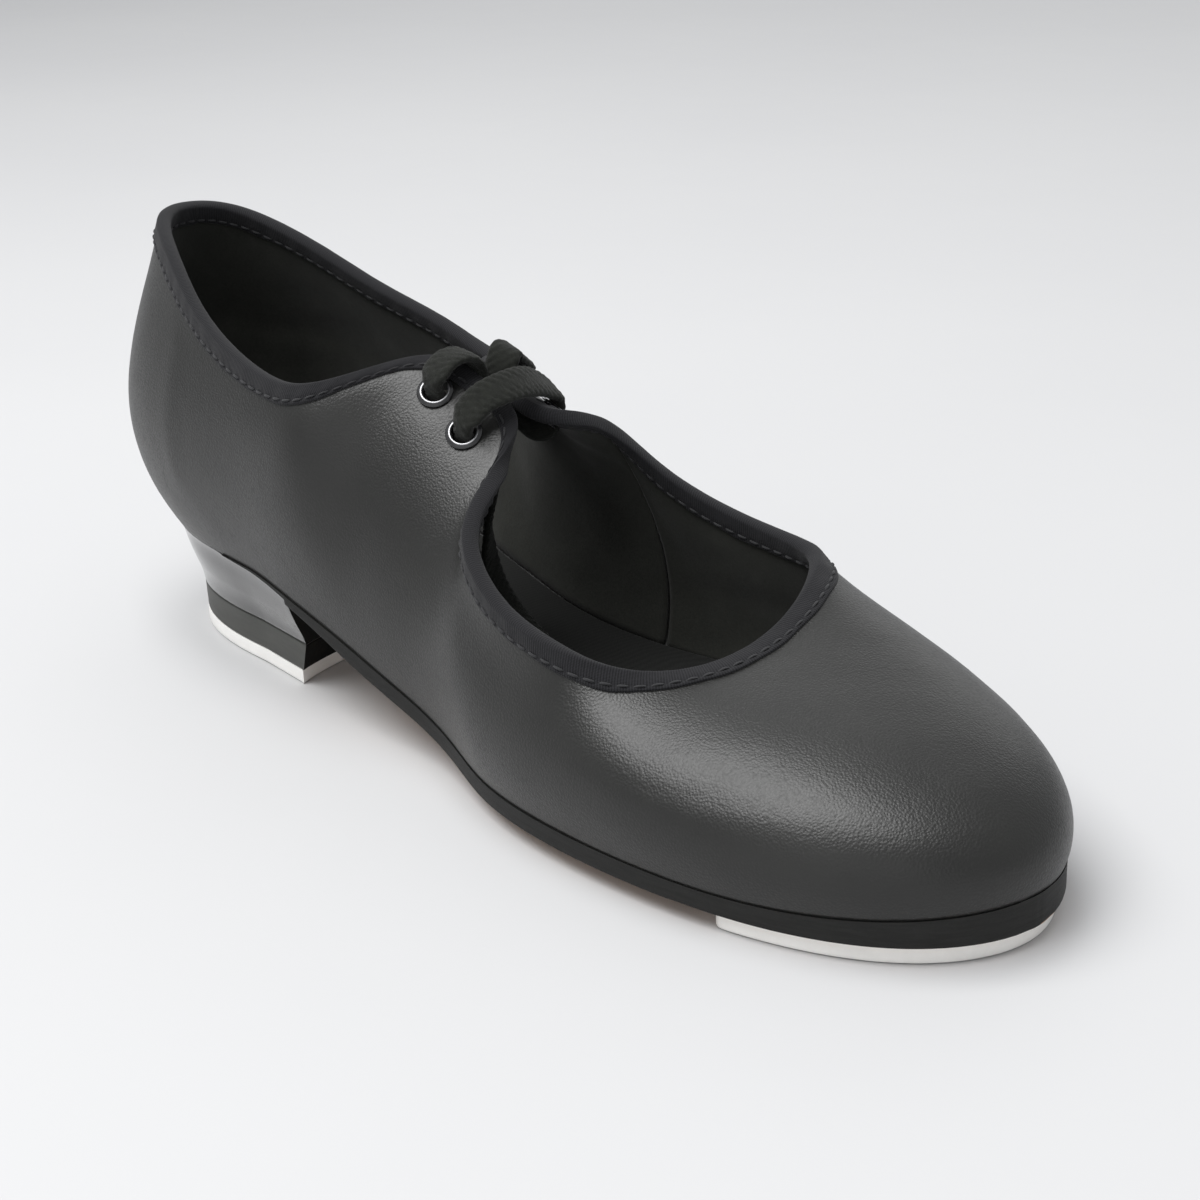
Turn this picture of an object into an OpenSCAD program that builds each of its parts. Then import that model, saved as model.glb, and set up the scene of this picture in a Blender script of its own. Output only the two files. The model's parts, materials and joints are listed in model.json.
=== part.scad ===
// Tap shoe for the right foot: a lasted upper on a low block heel, with a
// metal tap screwed under the toe and one under the heel.
// +X runs from heel to toe, +Y to the inner (medial) side, +Z up.
// The shoe stands on its two taps at z = 0.

/* [Sole] */
// Thickness of the outsole under the ball of the foot
sole_t = 4; // [3.5:0.1:4.5]
// Thickness of both taps
tap_t = 3.2; // [2.8:0.1:3.6]
// Height of the rubber lift between the heel block and its tap
lift_h = 7; // [6:0.5:8]
// Height of the heel seat above the tread of the sole
seat_rise = 17.8; // [15.8:0.2:19.8]
// Rise of the toe tip above the tread
toe_spring = 2.6; // [1.6:0.2:3.6]

/* [Upper] */
// Thickness of the outer material
upper_t = 1.2; // [0.9:0.1:1.5]
// Thickness of the lining
lining_t = 0.8; // [0.6:0.1:1]
// Width of the margin that is lasted under the insole
margin_w = 12; // [10:1:13]
// Width of the binding tape on each face of the topline
binding_w = 4; // [3:0.5:5]
// Thickness of the binding tape
binding_t = 0.6; // [0.4:0.1:0.7]
// Thickness of the heel counter
counter_t = 0.9; // [0.6:0.1:1]
// Thickness of the toe puff
puff_t = 0.8; // [0.6:0.1:1]
// Thickness of the stays behind the eyelets
stay_t = 0.5; // [0.4:0.1:0.6]

/* [Fastening] */
// Outside diameter of the eyelet flange
eyelet_d = 7.4; // [7:0.1:8]
// Clear hole through the eyelet
eyelet_hole = 5; // [4.6:0.1:5.2]
// Width of the flat lace
lace_w = 7; // [6:0.1:8]
// Thickness of the flat lace
lace_t = 1.5; // [1.2:0.1:1.8]

/* [Bottom parts] */
// Thickness of the insole board
board_t = 2; // [1.6:0.1:2.4]
// Thickness of the sock lining on the insole board
sock_t = 1.5; // [1:0.1:2]
// Width of the steel shank
shank_w = 12; // [10:1:13]
// Head diameter of the tap screws
screw_head = 6; // [5.5:0.1:6.5]

/* [Hidden] */
$fn = 48;

// The control values are drawn with x = 0 near the back of the heel; this
// shift brings the origin to the middle of the shoe's box.
centre = [116.5, -0.5, 0];
clear = 0.1; // gap between neighbouring layers
black = [0.17, 0.17, 0.17];
steel = [0.86, 0.86, 0.87];

// ---- Height profile of the sole -------------------------------------------
seat_end = 48;    // x where the heel seat starts to slope down
tread_start = 140; // x where the sole reaches its tread height
tread_end = 190;  // x where the toe spring starts
toe_tip = 240;
tread_z = 7.2;    // height of the feather edge for which the ribs are drawn

function ease(u) = let (c = max(0, min(1, u))) c*c*(3 - 2*c);
function rise(x) = seat_rise*(1 - ease((x - seat_end)/(tread_start - seat_end)))
    + toe_spring*pow(max(0, x - tread_end)/(toe_tip - tread_end), 2);
// Height of the feather edge, where the upper meets the sole
function feather_z(x) = tap_t + sole_t + rise(x);
// Underside of the outsole: it closes on the flat toe tap towards the tip
function tread_under(x) = x < tread_end ? feather_z(x) - sole_t
    : tap_t + clear + 0.15*rise(x);

// ---- Form of the upper ------------------------------------------------------
// Control ribs from the back of the heel, along the side, to the toe tip.
// A rib runs from the feather edge up to the topline as a cubic curve:
// [feather x, y; outward angle; its pull out and up at the feather edge;
//  topline x, y, z; its pull out and up at the topline;
//  feather y, topline y and topline z on the medial side]
last_ribs = [
    [  2,   0,   0,  22, 26,  -2,   0, 94,   8, -25,    0,   0, 94],
    [  6, -17,  38,  20, 26,   2, -12, 94,   8, -25,  -19, -12, 92],
    [ 21, -23,  70,  16, 26,  20, -20, 89,   8, -22,  -25, -20, 84],
    [ 37, -25,  84,  12, 26,  37, -26, 80,   6, -20,  -26, -24, 76],
    [ 52, -26,  88,   9, 26,  55, -29, 74,   4, -16,  -26, -28, 71],
    [ 66, -28,  90,   7, 26,  72, -30, 71,   5, -14,  -24, -27, 66],
    [ 79, -28,  90,   6, 26,  84, -28, 73,  10, -10,  -22, -24, 68],
    [ 91, -28,  90,   6, 24,  94,  -6, 79,  18,  -6,  -22,  -3, 75],
    [101, -28,  90,   7, 22, 104,  -4, 74,  20,  -4,  -22,  -2, 72],
    [112, -28,  90,   8, 22, 117,  -1, 67,  20,  -4,  -24,  -1, 67],
    [123, -30,  90,   8, 20, 120, -16, 59,   9,  -9,  -28, -16, 66],
    [134, -34,  90,   8, 19, 125, -29, 52,   1, -15,  -32, -26, 51],
    [149, -38,  92,   6, 17, 143, -35, 43,  -1, -16,  -36, -33, 43],
    [175, -39,  98,   6, 16, 162, -34, 40,   3, -13,  -38, -34, 42],
    [208, -35, 116,   6, 15, 170, -26, 36,  12,  -9,  -35, -25, 44],
    [234, -22, 148,   8, 20, 176, -14, 35,  24,  -3,  -21, -12, 40],
    [245,   0, 180,   8, 20, 177,   0, 36,  28,  -1,    0,   0, 36]];
toe_rib = len(last_ribs) - 1;
loop_ribs = 2*toe_rib;   // ribs once round the shoe
form_z = tap_t + sole_t - tread_z;

// One control rib as a flat vector; side 1 is lateral and -1 medial
function control_rib(r, side) = let (
    out = [-cos(r[2]), -side*sin(r[2])],
    foot_y = side > 0 ? r[1] : r[10],
    top_y = side > 0 ? r[6] : r[11],
    top_z = side > 0 ? r[7] : r[12])
    [r[0], side*foot_y, r[3]*out.x, r[3]*out.y, r[4],
     r[5], side*top_y, top_z + form_z, r[8]*out.x, r[8]*out.y, r[9]];
control_loop = concat([for (r = last_ribs) control_rib(r, 1)],
    [for (i = [toe_rib - 1:-1:1]) control_rib(last_ribs[i], -1)]);

// Rib at loop position t, from a uniform cubic B-spline of the control ribs
function blend(t) = let (
    s = t + loop_ribs, i = floor(s), f = s - i, g = 1 - f,
    w = [g*g*g, 3*f*f*f - 6*f*f + 4, 3*g*g*g - 6*g*g + 4, f*f*f]/6)
    w[0]*control_loop[(i - 1)%loop_ribs] + w[1]*control_loop[i%loop_ribs]
    + w[2]*control_loop[(i + 1)%loop_ribs] + w[3]*control_loop[(i + 2)%loop_ribs];
function rib(t) = let (
    r = blend(t),
    foot = [r[0], r[1], feather_z(r[0])],
    top = [r[5], r[6], r[7]])
    [foot, foot + [r[2], r[3], r[4]], top + [r[8], r[9], r[10]], top];
function on_rib(q, v) = let (u = 1 - v)
    u*u*u*q[0] + 3*u*u*v*q[1] + 3*u*v*v*q[2] + v*v*v*q[3];
function along_rib(q, v) = let (u = 1 - v)
    u*u*(q[1] - q[0]) + 2*u*v*(q[2] - q[1]) + v*v*(q[3] - q[2]);
// A station holds a rib and its two close neighbours, which give the normal
function station(t) = [rib(t), rib(t - 0.05), rib(t + 0.05), t];
function unit(a) = a/norm(a);
function normal(s, v) =
    unit(cross(on_rib(s[2], v) - on_rib(s[1], v), along_rib(s[0], v)));
// Point of the upper at height v (0 feather edge, 1 topline), sunk by depth
function skin(s, v, depth) = on_rib(s[0], v) - depth*normal(s, v);
// Horizontal outward direction and the inset point at the feather edge
function foot_out(s) = let (d = s[2][0] - s[1][0]) unit([d.y, -d.x]);
function foot_inset(s, inset) = let (p = s[0][0], o = foot_out(s))
    [p.x - inset*o.x, p.y - inset*o.y];

n_stations = 80;
ring = [for (i = [0:n_stations - 1]) station((i + 0.5)*loop_ribs/n_stations)];
// Stations from position a to b, counted on from the heel; b may pass the end
function arc_stations(a, b) = [for (i = [0:n_stations*2 - 1])
    let (t = (i + 0.5)*loop_ribs/n_stations)
    if (t > a && t < b) ring[i%n_stations]];
// Rows up each rib, closer together at the feather edge and the topline
rows = [0, 0.04, 0.1, 0.18, 0.26, 0.34, 0.42, 0.5, 0.58, 0.66, 0.74, 0.82, 0.9, 0.96, 1];

// ---- Stiffeners between the upper and the lining ----------------------------
counter_ends = 4.8;  // ribs each way from the back of the heel
counter_top = 0.58;
puff_ends = 3.8;     // ribs each way from the toe tip
puff_top = 0.42;
stay_rib = 8;        // rib in the middle of the eyelet tab
stay_ends = 2;
stay_rows = [0.74, 0.9];
skived = 0.25;       // thickness left at a skived edge

function from_heel(s) = min(s[3], loop_ribs - s[3]);
function fade(x, limit, width) = 1 - ease((x - limit + width)/width);
function counter_at(s, v) = from_heel(s) > counter_ends || v > counter_top ? 0
    : skived + (counter_t - skived)*fade(from_heel(s), counter_ends, 0.8)*fade(v, counter_top, 0.1);
function puff_at(s, v) = let (u = toe_rib - from_heel(s))
    u > puff_ends || v > puff_top ? 0
    : skived + (puff_t - skived)*fade(u, puff_ends, 0.8)*fade(v, puff_top, 0.1);
function stay_at(s, v) = abs(from_heel(s) - stay_rib) > stay_ends
    || v < stay_rows[0] || v > stay_rows[1] ? 0 : stay_t;
function lining_depth(s, v) = upper_t + clear/2 + counter_at(s, v) + puff_at(s, v) + stay_at(s, v);
shell_t = upper_t + lining_t + clear;

// ---- Lofts ------------------------------------------------------------------
// Solid through a list of closed sections that have equal numbers of points.
// Points j and m-1-j of a section lie opposite each other, so the end caps are
// strips between them.
function quad(a, b, c, d) = [[a, b, c], [a, c, d]];
module loft(sections, closed = false) {
    n = len(sections);
    m = len(sections[0]);
    function id(i, j) = (i%n)*m + (j%m);
    walls = [for (i = [0:n - (closed ? 1 : 2)], j = [0:m - 1])
        each quad(id(i, j), id(i + 1, j), id(i + 1, j + 1), id(i, j + 1))];
    function cap(i) = [for (j = [0:m/2 - 2])
        each quad(id(i, j), id(i, j + 1), id(i, m - 2 - j), id(i, m - 1 - j))];
    first = closed ? [] : cap(0);
    last = closed ? [] : [for (f = cap(n - 1)) [f[2], f[1], f[0]]];
    polyhedron(points = [for (s = sections) each s],
        faces = concat(walls, first, last), convexity = 10);
}
// Layer between two depths over some stations and rows
module layer(stations, vs, outer, inner) {
    loft([for (s = stations) concat(
        [for (v = vs) skin(s, v, outer(s, v))],
        [for (i = [len(vs) - 1:-1:0]) skin(s, vs[i], inner(s, vs[i]))])]);
}
// Flat sheet that follows the sole: it fills an inset outline from x0 to x1,
// and its thickness may step at one x
module sole_slab(inset, x0, x1, bottom, top, step = 0) {
    step_w = 0.2;
    side = [for (i = [0:n_stations/2 - 1]) let (p = foot_inset(ring[i], inset))
        if (p.x > x0 && p.x < x1) [p.x, p.y, foot_inset(ring[n_stations - 1 - i], inset).y]];
    function at_x(x) = [x, lookup(x, [for (s = side) [s[0], s[1]]]),
        lookup(x, [for (s = side) [s[0], s[2]]])];
    full = concat(x0 > 0 ? [at_x(x0)] : [], [for (s = side) if (s[0] < step) s],
        step > 0 ? [at_x(step), at_x(step + step_w)] : [],
        [for (s = side) if (s[0] > step + step_w) s], x1 < toe_tip ? [at_x(x1)] : []);
    outline = concat([for (s = full) [s[0], s[1]]],
        [for (i = [len(full) - 1:-1:0]) [full[i][0], full[i][2]]]);
    loft([[for (p = outline) [p.x, p.y, top(p.x)]],
        [for (p = outline) [p.x, p.y, bottom(p.x)]]]);
}
module at_centre() { translate(-centre) children(); }

// ---- Upper assembly ---------------------------------------------------------
eyelet_spots = [[7.68, 0.865], [8.5, 0.82]]; // upper and lower, on each tab
barrel_r = eyelet_hole/2 + 0.3;
// Places children with +Z along the outward normal of an eyelet
module at_eyelet(side, i) {
    s = station(side > 0 ? eyelet_spots[i][0] : loop_ribs - eyelet_spots[i][0]);
    n = normal(s, eyelet_spots[i][1]);
    translate(skin(s, eyelet_spots[i][1], 0)) rotate([0, acos(n.z), atan2(n.y, n.x)]) children();
}
module eyelet_holes(side) {
    for (i = [0, 1]) at_eyelet(side, i) translate([0, 0, -8])
        cylinder(r = barrel_r + clear/2, h = 12);
}
module upper() {
    color(black) at_centre() difference() {
        loft([for (s = ring) let (tip = foot_inset(s, margin_w)) concat(
            [for (v = rows) skin(s, v, 0)],
            [for (i = [len(rows) - 1:-1:0]) skin(s, rows[i], upper_t)],
            [[tip.x, tip.y, feather_z(tip.x) + upper_t], [tip.x, tip.y, feather_z(tip.x)]])],
            closed = true);
        eyelet_holes(1);
        eyelet_holes(-1);
    }
}
module lining(a, b) {
    layer(arc_stations(a, b), [for (i = [1:len(rows) - 1]) rows[i]],
        function(s, v) lining_depth(s, v), function(s, v) lining_depth(s, v) + lining_t);
}
vamp_rib = 10; // rib where the quarter lining meets the vamp lining
module quarter_lining() {
    color(black) at_centre() difference() {
        lining(loop_ribs - vamp_rib, loop_ribs + vamp_rib);
        eyelet_holes(1);
        eyelet_holes(-1);
    }
}
module vamp_lining() { color(black) at_centre() lining(vamp_rib, loop_ribs - vamp_rib); }
module stiffener(a, b, v0, v1, thick) {
    layer(arc_stations(a, b), [for (v = rows) if (v > v0 - 0.001 && v < v1 + 0.001) v],
        function(s, v) upper_t + clear/4, function(s, v) upper_t + clear/4 + thick(s, v));
}
module heel_counter() {
    color([0.75, 0.7, 0.6]) at_centre() stiffener(loop_ribs - counter_ends,
        loop_ribs + counter_ends, rows[1], counter_top, function(s, v) counter_at(s, v));
}
module toe_puff() {
    color([0.8, 0.78, 0.7]) at_centre() stiffener(toe_rib - puff_ends, toe_rib + puff_ends,
        rows[1], puff_top, function(s, v) puff_at(s, v));
}
module eyelet_stay(side) {
    middle = side > 0 ? stay_rib : loop_ribs - stay_rib;
    difference() {
        stiffener(middle - stay_ends, middle + stay_ends, stay_rows[0], stay_rows[1],
            function(s, v) stay_at(s, v));
        eyelet_holes(side);
    }
}
module lateral_eyelet_stay() { color([0.8, 0.8, 0.75]) at_centre() eyelet_stay(1); }
module medial_eyelet_stay() { color([0.8, 0.8, 0.75]) at_centre() eyelet_stay(-1); }
// Tape folded over the topline: a U that holds the upper and the lining
module topline_binding() {
    inner = shell_t + clear;
    color([0.15, 0.15, 0.16]) at_centre() loft([for (s = ring) let (
        v0 = 1 - binding_w/norm(3*(s[0][3] - s[0][2])),
        vm = (1 + v0)/2,
        up = unit(along_rib(s[0], 1))*clear/2,
        over = unit(along_rib(s[0], 1))*(binding_t + clear/2)) [
        skin(s, v0, -clear/2), skin(s, v0, -binding_t), skin(s, vm, -binding_t),
        skin(s, 1, -binding_t), skin(s, 1, 0.3) + over, skin(s, 1, inner - 0.3) + over,
        skin(s, 1, inner + binding_t), skin(s, vm, inner + binding_t),
        skin(s, v0, inner + binding_t), skin(s, v0, inner),
        skin(s, vm, inner), skin(s, 1, inner) + up,
        skin(s, 1, -clear/2) + up, skin(s, vm, -clear/2)]], closed = true);
}
// Tubular eyelet: domed flange outside, barrel, and rolled end inside
module eyelet() {
    roll_z = -shell_t - stay_t - clear;
    hole_r = eyelet_hole/2;
    rotate_extrude() difference() {
        union() {
            translate([hole_r, roll_z - 0.5]) square([barrel_r - hole_r, 0.9 - roll_z]);
            translate([hole_r, 0.1]) square([eyelet_d/2 - hole_r, 0.4]);
            translate([hole_r, roll_z - 0.5]) square([eyelet_d/2 - 0.5 - hole_r, 0.4]);
            translate([hole_r + 0.6, 0.5]) scale(0.6) circle(r = 1);
        }
        translate([0, -20]) square([hole_r, 40]);
    }
}
module eyelets(side) { for (i = [0, 1]) at_eyelet(side, i) eyelet(); }
module lateral_eyelets() { color([0.25, 0.25, 0.26]) at_centre() eyelets(1); }
module medial_eyelets() { color([0.25, 0.25, 0.26]) at_centre() eyelets(-1); }

// ---- Lace -------------------------------------------------------------------
// Route of the lace, each point with the direction that its flat side faces.
// One end lies on the insole under the vamp. The lace rises through the gap
// between the tabs, turns over the edge of one tab, goes down its upper eyelet
// and out of its lower one, crosses to the other tab and returns the same way.
lateral_route = [
    [200, -14, 13.2, 0, 0, 1], [184, -17, 13, 0, 0, 1], [166, -18, 12.9, 0, 0, 1],
    [148, -17, 13, 0, 0, 1], [132, -13, 13.6, 0.1, 0, 1], [118, -9, 15.9, 0.2, 0, 1],
    [107, -6, 20.6, 0.6, 0.1, 0.8], [100, -3.8, 29, 1, 0.3, 0.2], [99, -2.9, 41, 0.6, 0.8, 0],
    [101, -2.4, 54, 0.1, 1, 0], [102.4, -2.3, 66, 0, 1, 0], [102.2, -2.7, 75, 0, 1, 0.3],
    [102.2, -5.2, 78.4, 0.1, 0.1, 1], [101.9, -9.4, 78.3, 0.1, -0.5, 0.85],
    [101.6, -12.7, 75.4, 0.1, -1, 0.3], [100.8, -12.1, 72.3, 0.2, -1, -0.2],
    [100, -9.9, 68.6, 0.4, -0.8, -0.6], [103.6, -9.8, 65.2, 0.4, -0.3, -1],
    [107.6, -10.1, 62.4, 0.5, -0.5, -0.9], [110, -12.8, 65.7, 0.2, -0.95, 0],
    [111.2, -13, 68.9, 0.2, -0.9, 0.3], [112.3, -9.8, 72.2, 0.45, -0.6, 0.65],
    [113.2, -5.4, 73.7, 0.6, -0.4, 0.7]];
medial_route = [
    [112, 3.8, 72.7, 0.7, -0.2, 0.7], [110.8, 7.6, 71, 0.6, 0.25, 0.75],
    [110.2, 11, 68.6, 0.3, 0.85, 0.4], [110, 11.5, 65, 0.1, 0.95, -0.2],
    [108.9, 8.6, 61.4, -0.3, 0.5, -0.9], [104.2, 7.8, 63.2, -0.3, 0.2, -1],
    [99.8, 7.2, 66.4, -0.4, 0.7, -0.7], [100.8, 9.5, 69.6, -0.1, 0.95, -0.2],
    [101.3, 11, 73, 0.1, 0.95, 0.2], [102.2, 8.4, 75.2, 0.2, 0.7, 0.7],
    [103.3, 5.4, 77.5, 0.4, -0.1, 0.9], [104.3, 3.2, 76.6, 0.45, -0.8, 0.4],
    [104.5, 1.6, 72.6, 0.4, -0.9, 0.1], [103.4, 0.7, 66, 0.3, -0.95, 0],
    [101.4, 0.7, 54, 0, -1, 0], [99.4, 0.8, 41, -0.6, -0.8, 0],
    [100.4, 0.8, 29, -1, -0.3, -0.2], [107, 1.5, 20.6, -0.6, -0.1, -0.8],
    [118, 1, 15.9, -0.2, 0, -1], [132, -3, 13.6, -0.1, 0, -1], [148, -7, 13, 0, 0, -1],
    [166, -8.5, 12.9, 0, 0, -1], [184, -8, 13, 0, 0, -1], [200, -6, 13.2, 0, 0, -1]];
bar_middle = [113, -0.6, 73.8, 0.66, -0.35, 0.66];
lace_route = concat(lateral_route, [bar_middle], medial_route);
lace_last = len(lace_route) - 1;

// Smooth curve through the route's points (Catmull-Rom)
function route_at(t) = let (
    i = min(floor(t), lace_last - 1), f = t - i,
    p = [for (k = [-1:2]) lace_route[max(0, min(lace_last, i + k))]])
    p[1] + 0.5*f*((p[2] - p[0]) + f*((2*p[0] - 5*p[1] + 4*p[2] - p[3])
    + f*(3*(p[1] - p[2]) + p[3] - p[0])));
function place(r) = [r[0], r[1], r[2] + form_z];
function lace_frame(t) = let (
    p = place(route_at(t)),
    along = unit(place(route_at(min(t + 0.05, lace_last))) - place(route_at(max(t - 0.05, 0)))),
    r = route_at(t),
    across = unit(cross([r[3], r[4], r[5]], along)),
    face = cross(along, across))
    [p, across, face, along];
// Eyelets squeeze the lace to their bore
function pinch(t) = let (
    d = min([for (k = [15, 19, 27, 31]) abs(t - k)]),
    wide = 0.62 + 0.38*ease((d - 0.5)/1.1))
    wide;
lace_section = [for (a = [22.5:45:337.5]) [cos(a), sin(a)]];
n_rings = 112;
module lace() {
    color([0.13, 0.13, 0.12]) at_centre() loft([for (i = [0:n_rings]) let (
        t = i*lace_last/n_rings, f = lace_frame(t), w = pinch(t))
        [for (c = lace_section) f[0] + f[1]*c.x*w*lace_w/2*1.08 + f[2]*c.y*lace_t/2*1.08]]);
}
aglet_l = 14;
module lace_aglets() {
    color([0.1, 0.1, 0.1]) at_centre() for (e = [[0, -1], [lace_last, 1]]) {
        f = lace_frame(e[0]);
        dir = f[3]*e[1];
        translate(f[0] + dir*0.1) rotate([0, acos(dir.z), atan2(dir.y, dir.x)])
            rotate_extrude() polygon([[0, 0], [1, 0], [1.2, 0.6], [1.2, aglet_l - 1],
                [0.7, aglet_l], [0, aglet_l]]);
    }
}

// ---- Bottom of the shoe -----------------------------------------------------
board_z = upper_t + clear/2;       // above the feather edge
sock_z = board_z + board_t + clear/2;
board_inset = 2.8;
nail_spots = [[20, -8.6], [20, 8.6], [46, -9.4], [46, 9.4]];
nail_r = 0.9;
nail_len = 15;
rivet_spots = [58, 122];
rivet_r = 1.6;
shank_x = [28, 128];

module insole_board() {
    color([0.72, 0.6, 0.42]) at_centre() difference() {
        sole_slab(board_inset, 0, toe_tip, function(x) feather_z(x) + board_z,
            function(x) feather_z(x) + board_z + board_t);
        for (p = nail_spots) translate([p.x, p.y, feather_z(p.x)]) {
            cylinder(r = nail_r + clear/2, h = 20, center = true);
            translate([0, 0, board_z + board_t - 0.8]) cylinder(r = 2.1, h = 4);
        }
        for (x = rivet_spots) translate([x, 0, feather_z(x)])
            cylinder(r = rivet_r + clear/2, h = 20, center = true);
    }
}
module sock_lining() {
    color([0.1, 0.1, 0.1]) at_centre() sole_slab(board_inset, 0, toe_tip,
        function(x) feather_z(x) + sock_z, function(x) feather_z(x) + sock_z + sock_t);
}
module forefoot_filler() {
    color([0.35, 0.3, 0.25]) at_centre() sole_slab(margin_w + 1, shank_x[1] + 2, 224,
        function(x) feather_z(x) + clear/2, function(x) feather_z(x) + upper_t);
}
module shank() {
    // straight spring-steel strip with the curve of the waist pressed into it
    n = 24;
    xs = [for (i = [0:n]) shank_x[0] + (shank_x[1] - shank_x[0])*i/n];
    color([0.5, 0.5, 0.52]) at_centre() difference() {
        loft([for (x = xs) [for (c = [[-1, clear/2], [-1, upper_t], [1, upper_t], [1, clear/2]])
            [x, c.x*shank_w/2, feather_z(x) + c.y]]]);
        for (x = rivet_spots) translate([x, 0, feather_z(x)])
            cylinder(r = rivet_r + clear/2, h = 20, center = true);
    }
}
module shank_rivets() {
    color([0.7, 0.7, 0.7]) at_centre() for (x = rivet_spots)
        translate([x, 0, feather_z(x) + 0.6]) cylinder(r = rivet_r, h = board_z + board_t - 1);
}
// The sole thins to a tongue that is trapped between the heel seat and block
sole_back = 65;
tongue_x = 38;
function tongue_at(x) = 0.2 + 0.9*(x - tongue_x)/(sole_back - tongue_x);
heel_screws = [[17, 0], [48, -11], [48, 11]];
toe_screws = [[226, 0], [207, -19], [207, 19]];
screw_r = 1.5;
heel_screw_len = 14;
toe_screw_len = 6.4;
module screw_holes(spots, depth) {
    for (p = spots) translate([p.x, p.y, -1]) cylinder(r = screw_r + clear/2, h = depth + 1);
}
module countersinks(spots) {
    for (p = spots) translate([p.x, p.y, -0.01])
        cylinder(r1 = screw_head/2 + clear, r2 = screw_r + clear/2, h = 1.7);
}
module outsole() {
    color([0.8, 0.68, 0.54]) at_centre() difference() {
        sole_slab(-0.3, tongue_x, 300,
            function(x) x > sole_back + 0.1 ? tread_under(x) : feather_z(x) - tongue_at(x),
            function(x) feather_z(x) - clear/2, sole_back);
        screw_holes(toe_screws, toe_screw_len + 0.3);
    }
}

// ---- Heel -------------------------------------------------------------------
side_x = 45;  // x where the curve of the back runs into the straight sides
back_power = 2.4;
// Closed D-shaped plan: lateral half from the back to the middle of the
// breast, then the medial half back again
function heel_plan(back_x, half_w, breast_x, corner_w, hollow) = let (
    curve = [for (i = [0:9]) let (a = (i + 0.5)*9)
        [side_x - (side_x - back_x)*pow(cos(a), 2/back_power), -half_w*pow(sin(a), 2/back_power)]],
    flank = [for (k = [0.2, 0.4, 0.6, 0.8])
        [side_x + (breast_x - side_x)*k, -half_w - (corner_w - half_w)*k]],
    breast = [for (k = [1, 0.75, 0.5, 0.25, 0.06])
        [breast_x - hollow*(1 - k*k), -corner_w*k]],
    half = concat(curve, flank, breast))
    concat(half, [for (i = [len(half) - 1:-1:0]) [half[i].x, -half[i].y]]);
function at_z(plan, z) = [for (p = plan) [p.x, p.y, z]];
block_z = tap_t + lift_h + clear;
block_h = feather_z(0) - block_z;
function seat_under(x) = feather_z(x) - clear/2 - (x > tongue_x - 2 ? tongue_at(x) : 0);
module heel_block() {
    // the sides and the breast sweep in below the seat
    shape = [[1, 2.8, 27, 64.8, 27.8, 0.6], [0.72, 3.4, 25.2, 65, 26.6, 1.6],
        [0.45, 4.3, 23.2, 64.9, 25.2, 2.8], [0.2, 5, 21.8, 64.7, 23.8, 3.4],
        [0, 5.3, 21.2, 64.5, 22.9, 3.6]];
    color([0.2, 0.2, 0.2]) at_centre() difference() {
        loft([for (s = shape) let (plan = heel_plan(s[1], s[2], s[3], s[4], s[5]))
            s[0] == 1 ? [for (p = plan) [p.x, p.y, seat_under(p.x)]]
            : at_z(plan, block_z + s[0]*block_h)]);
        screw_holes(heel_screws, heel_screw_len + 1);
        for (p = nail_spots) translate([p.x, p.y, feather_z(p.x) - nail_len])
            cylinder(r = nail_r + clear/2, h = nail_len + 2);
    }
}
module heel_lift() {
    color([0.3, 0.3, 0.29]) at_centre() difference() {
        loft([at_z(heel_plan(5.3, 21.2, 64.4, 22.9, 3.6), tap_t + lift_h),
            at_z(heel_plan(5.4, 21, 62.2, 22.6, 4), tap_t + clear)]);
        screw_holes(heel_screws, 20);
    }
}
module heel_tap() {
    color(steel) at_centre() difference() {
        linear_extrude(tap_t) polygon(heel_plan(5, 20.9, 61.5, 22.3, 4.5));
        countersinks(heel_screws);
        screw_holes(heel_screws, 10);
    }
}
module toe_tap() {
    tap_back = 198;  // x of the tap's back corners
    bow = 12;        // how far its back edge bows towards the heel
    front = [for (i = [0:n_stations/2 - 1]) let (p = foot_inset(ring[i], 1.2))
        if (p.x > tap_back) p];
    back = [for (k = [-0.9:0.3:0.9]) [tap_back - bow*(1 - k*k), 33.5*k]];
    medial = [for (i = [n_stations/2:n_stations - 1]) let (p = foot_inset(ring[i], 1.2))
        if (p.x > tap_back) p];
    color(steel) at_centre() difference() {
        linear_extrude(tap_t) polygon(concat(front, medial,
            [for (i = [len(back) - 1:-1:0]) back[i]]));
        countersinks(toe_screws);
        screw_holes(toe_screws, 10);
    }
}
module screws(spots, length) {
    for (p = spots) translate([p.x, p.y, 0]) rotate_extrude()
        polygon([[0, 0.2], [screw_head/2 - 0.15, 0.2], [screw_r, 1.7],
            [screw_r, length - 1.5], [0.3, length], [0, length]]);
}
module heel_tap_screws() { color(steel) at_centre() screws(heel_screws, heel_screw_len); }
module toe_tap_screws() { color(steel) at_centre() screws(toe_screws, toe_screw_len); }
module heel_seat_nails() {
    color([0.6, 0.6, 0.6]) at_centre() for (p = nail_spots)
        translate([p.x, p.y, feather_z(p.x) + board_z + board_t])
        rotate_extrude() polygon([[0, -0.1], [2, -0.1], [2, -0.7], [nail_r, -0.7],
            [nail_r, -nail_len - 0.5], [0.2, -nail_len - 2], [0, -nail_len - 2]]);
}

upper();
quarter_lining();
vamp_lining();
heel_counter();
toe_puff();
lateral_eyelet_stay();
medial_eyelet_stay();
topline_binding();
lateral_eyelets();
medial_eyelets();
lace();
lace_aglets();
insole_board();
sock_lining();
forefoot_filler();
shank();
shank_rivets();
outsole();
heel_block();
heel_seat_nails();
heel_lift();
heel_tap();
heel_tap_screws();
toe_tap();
toe_tap_screws();
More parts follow.
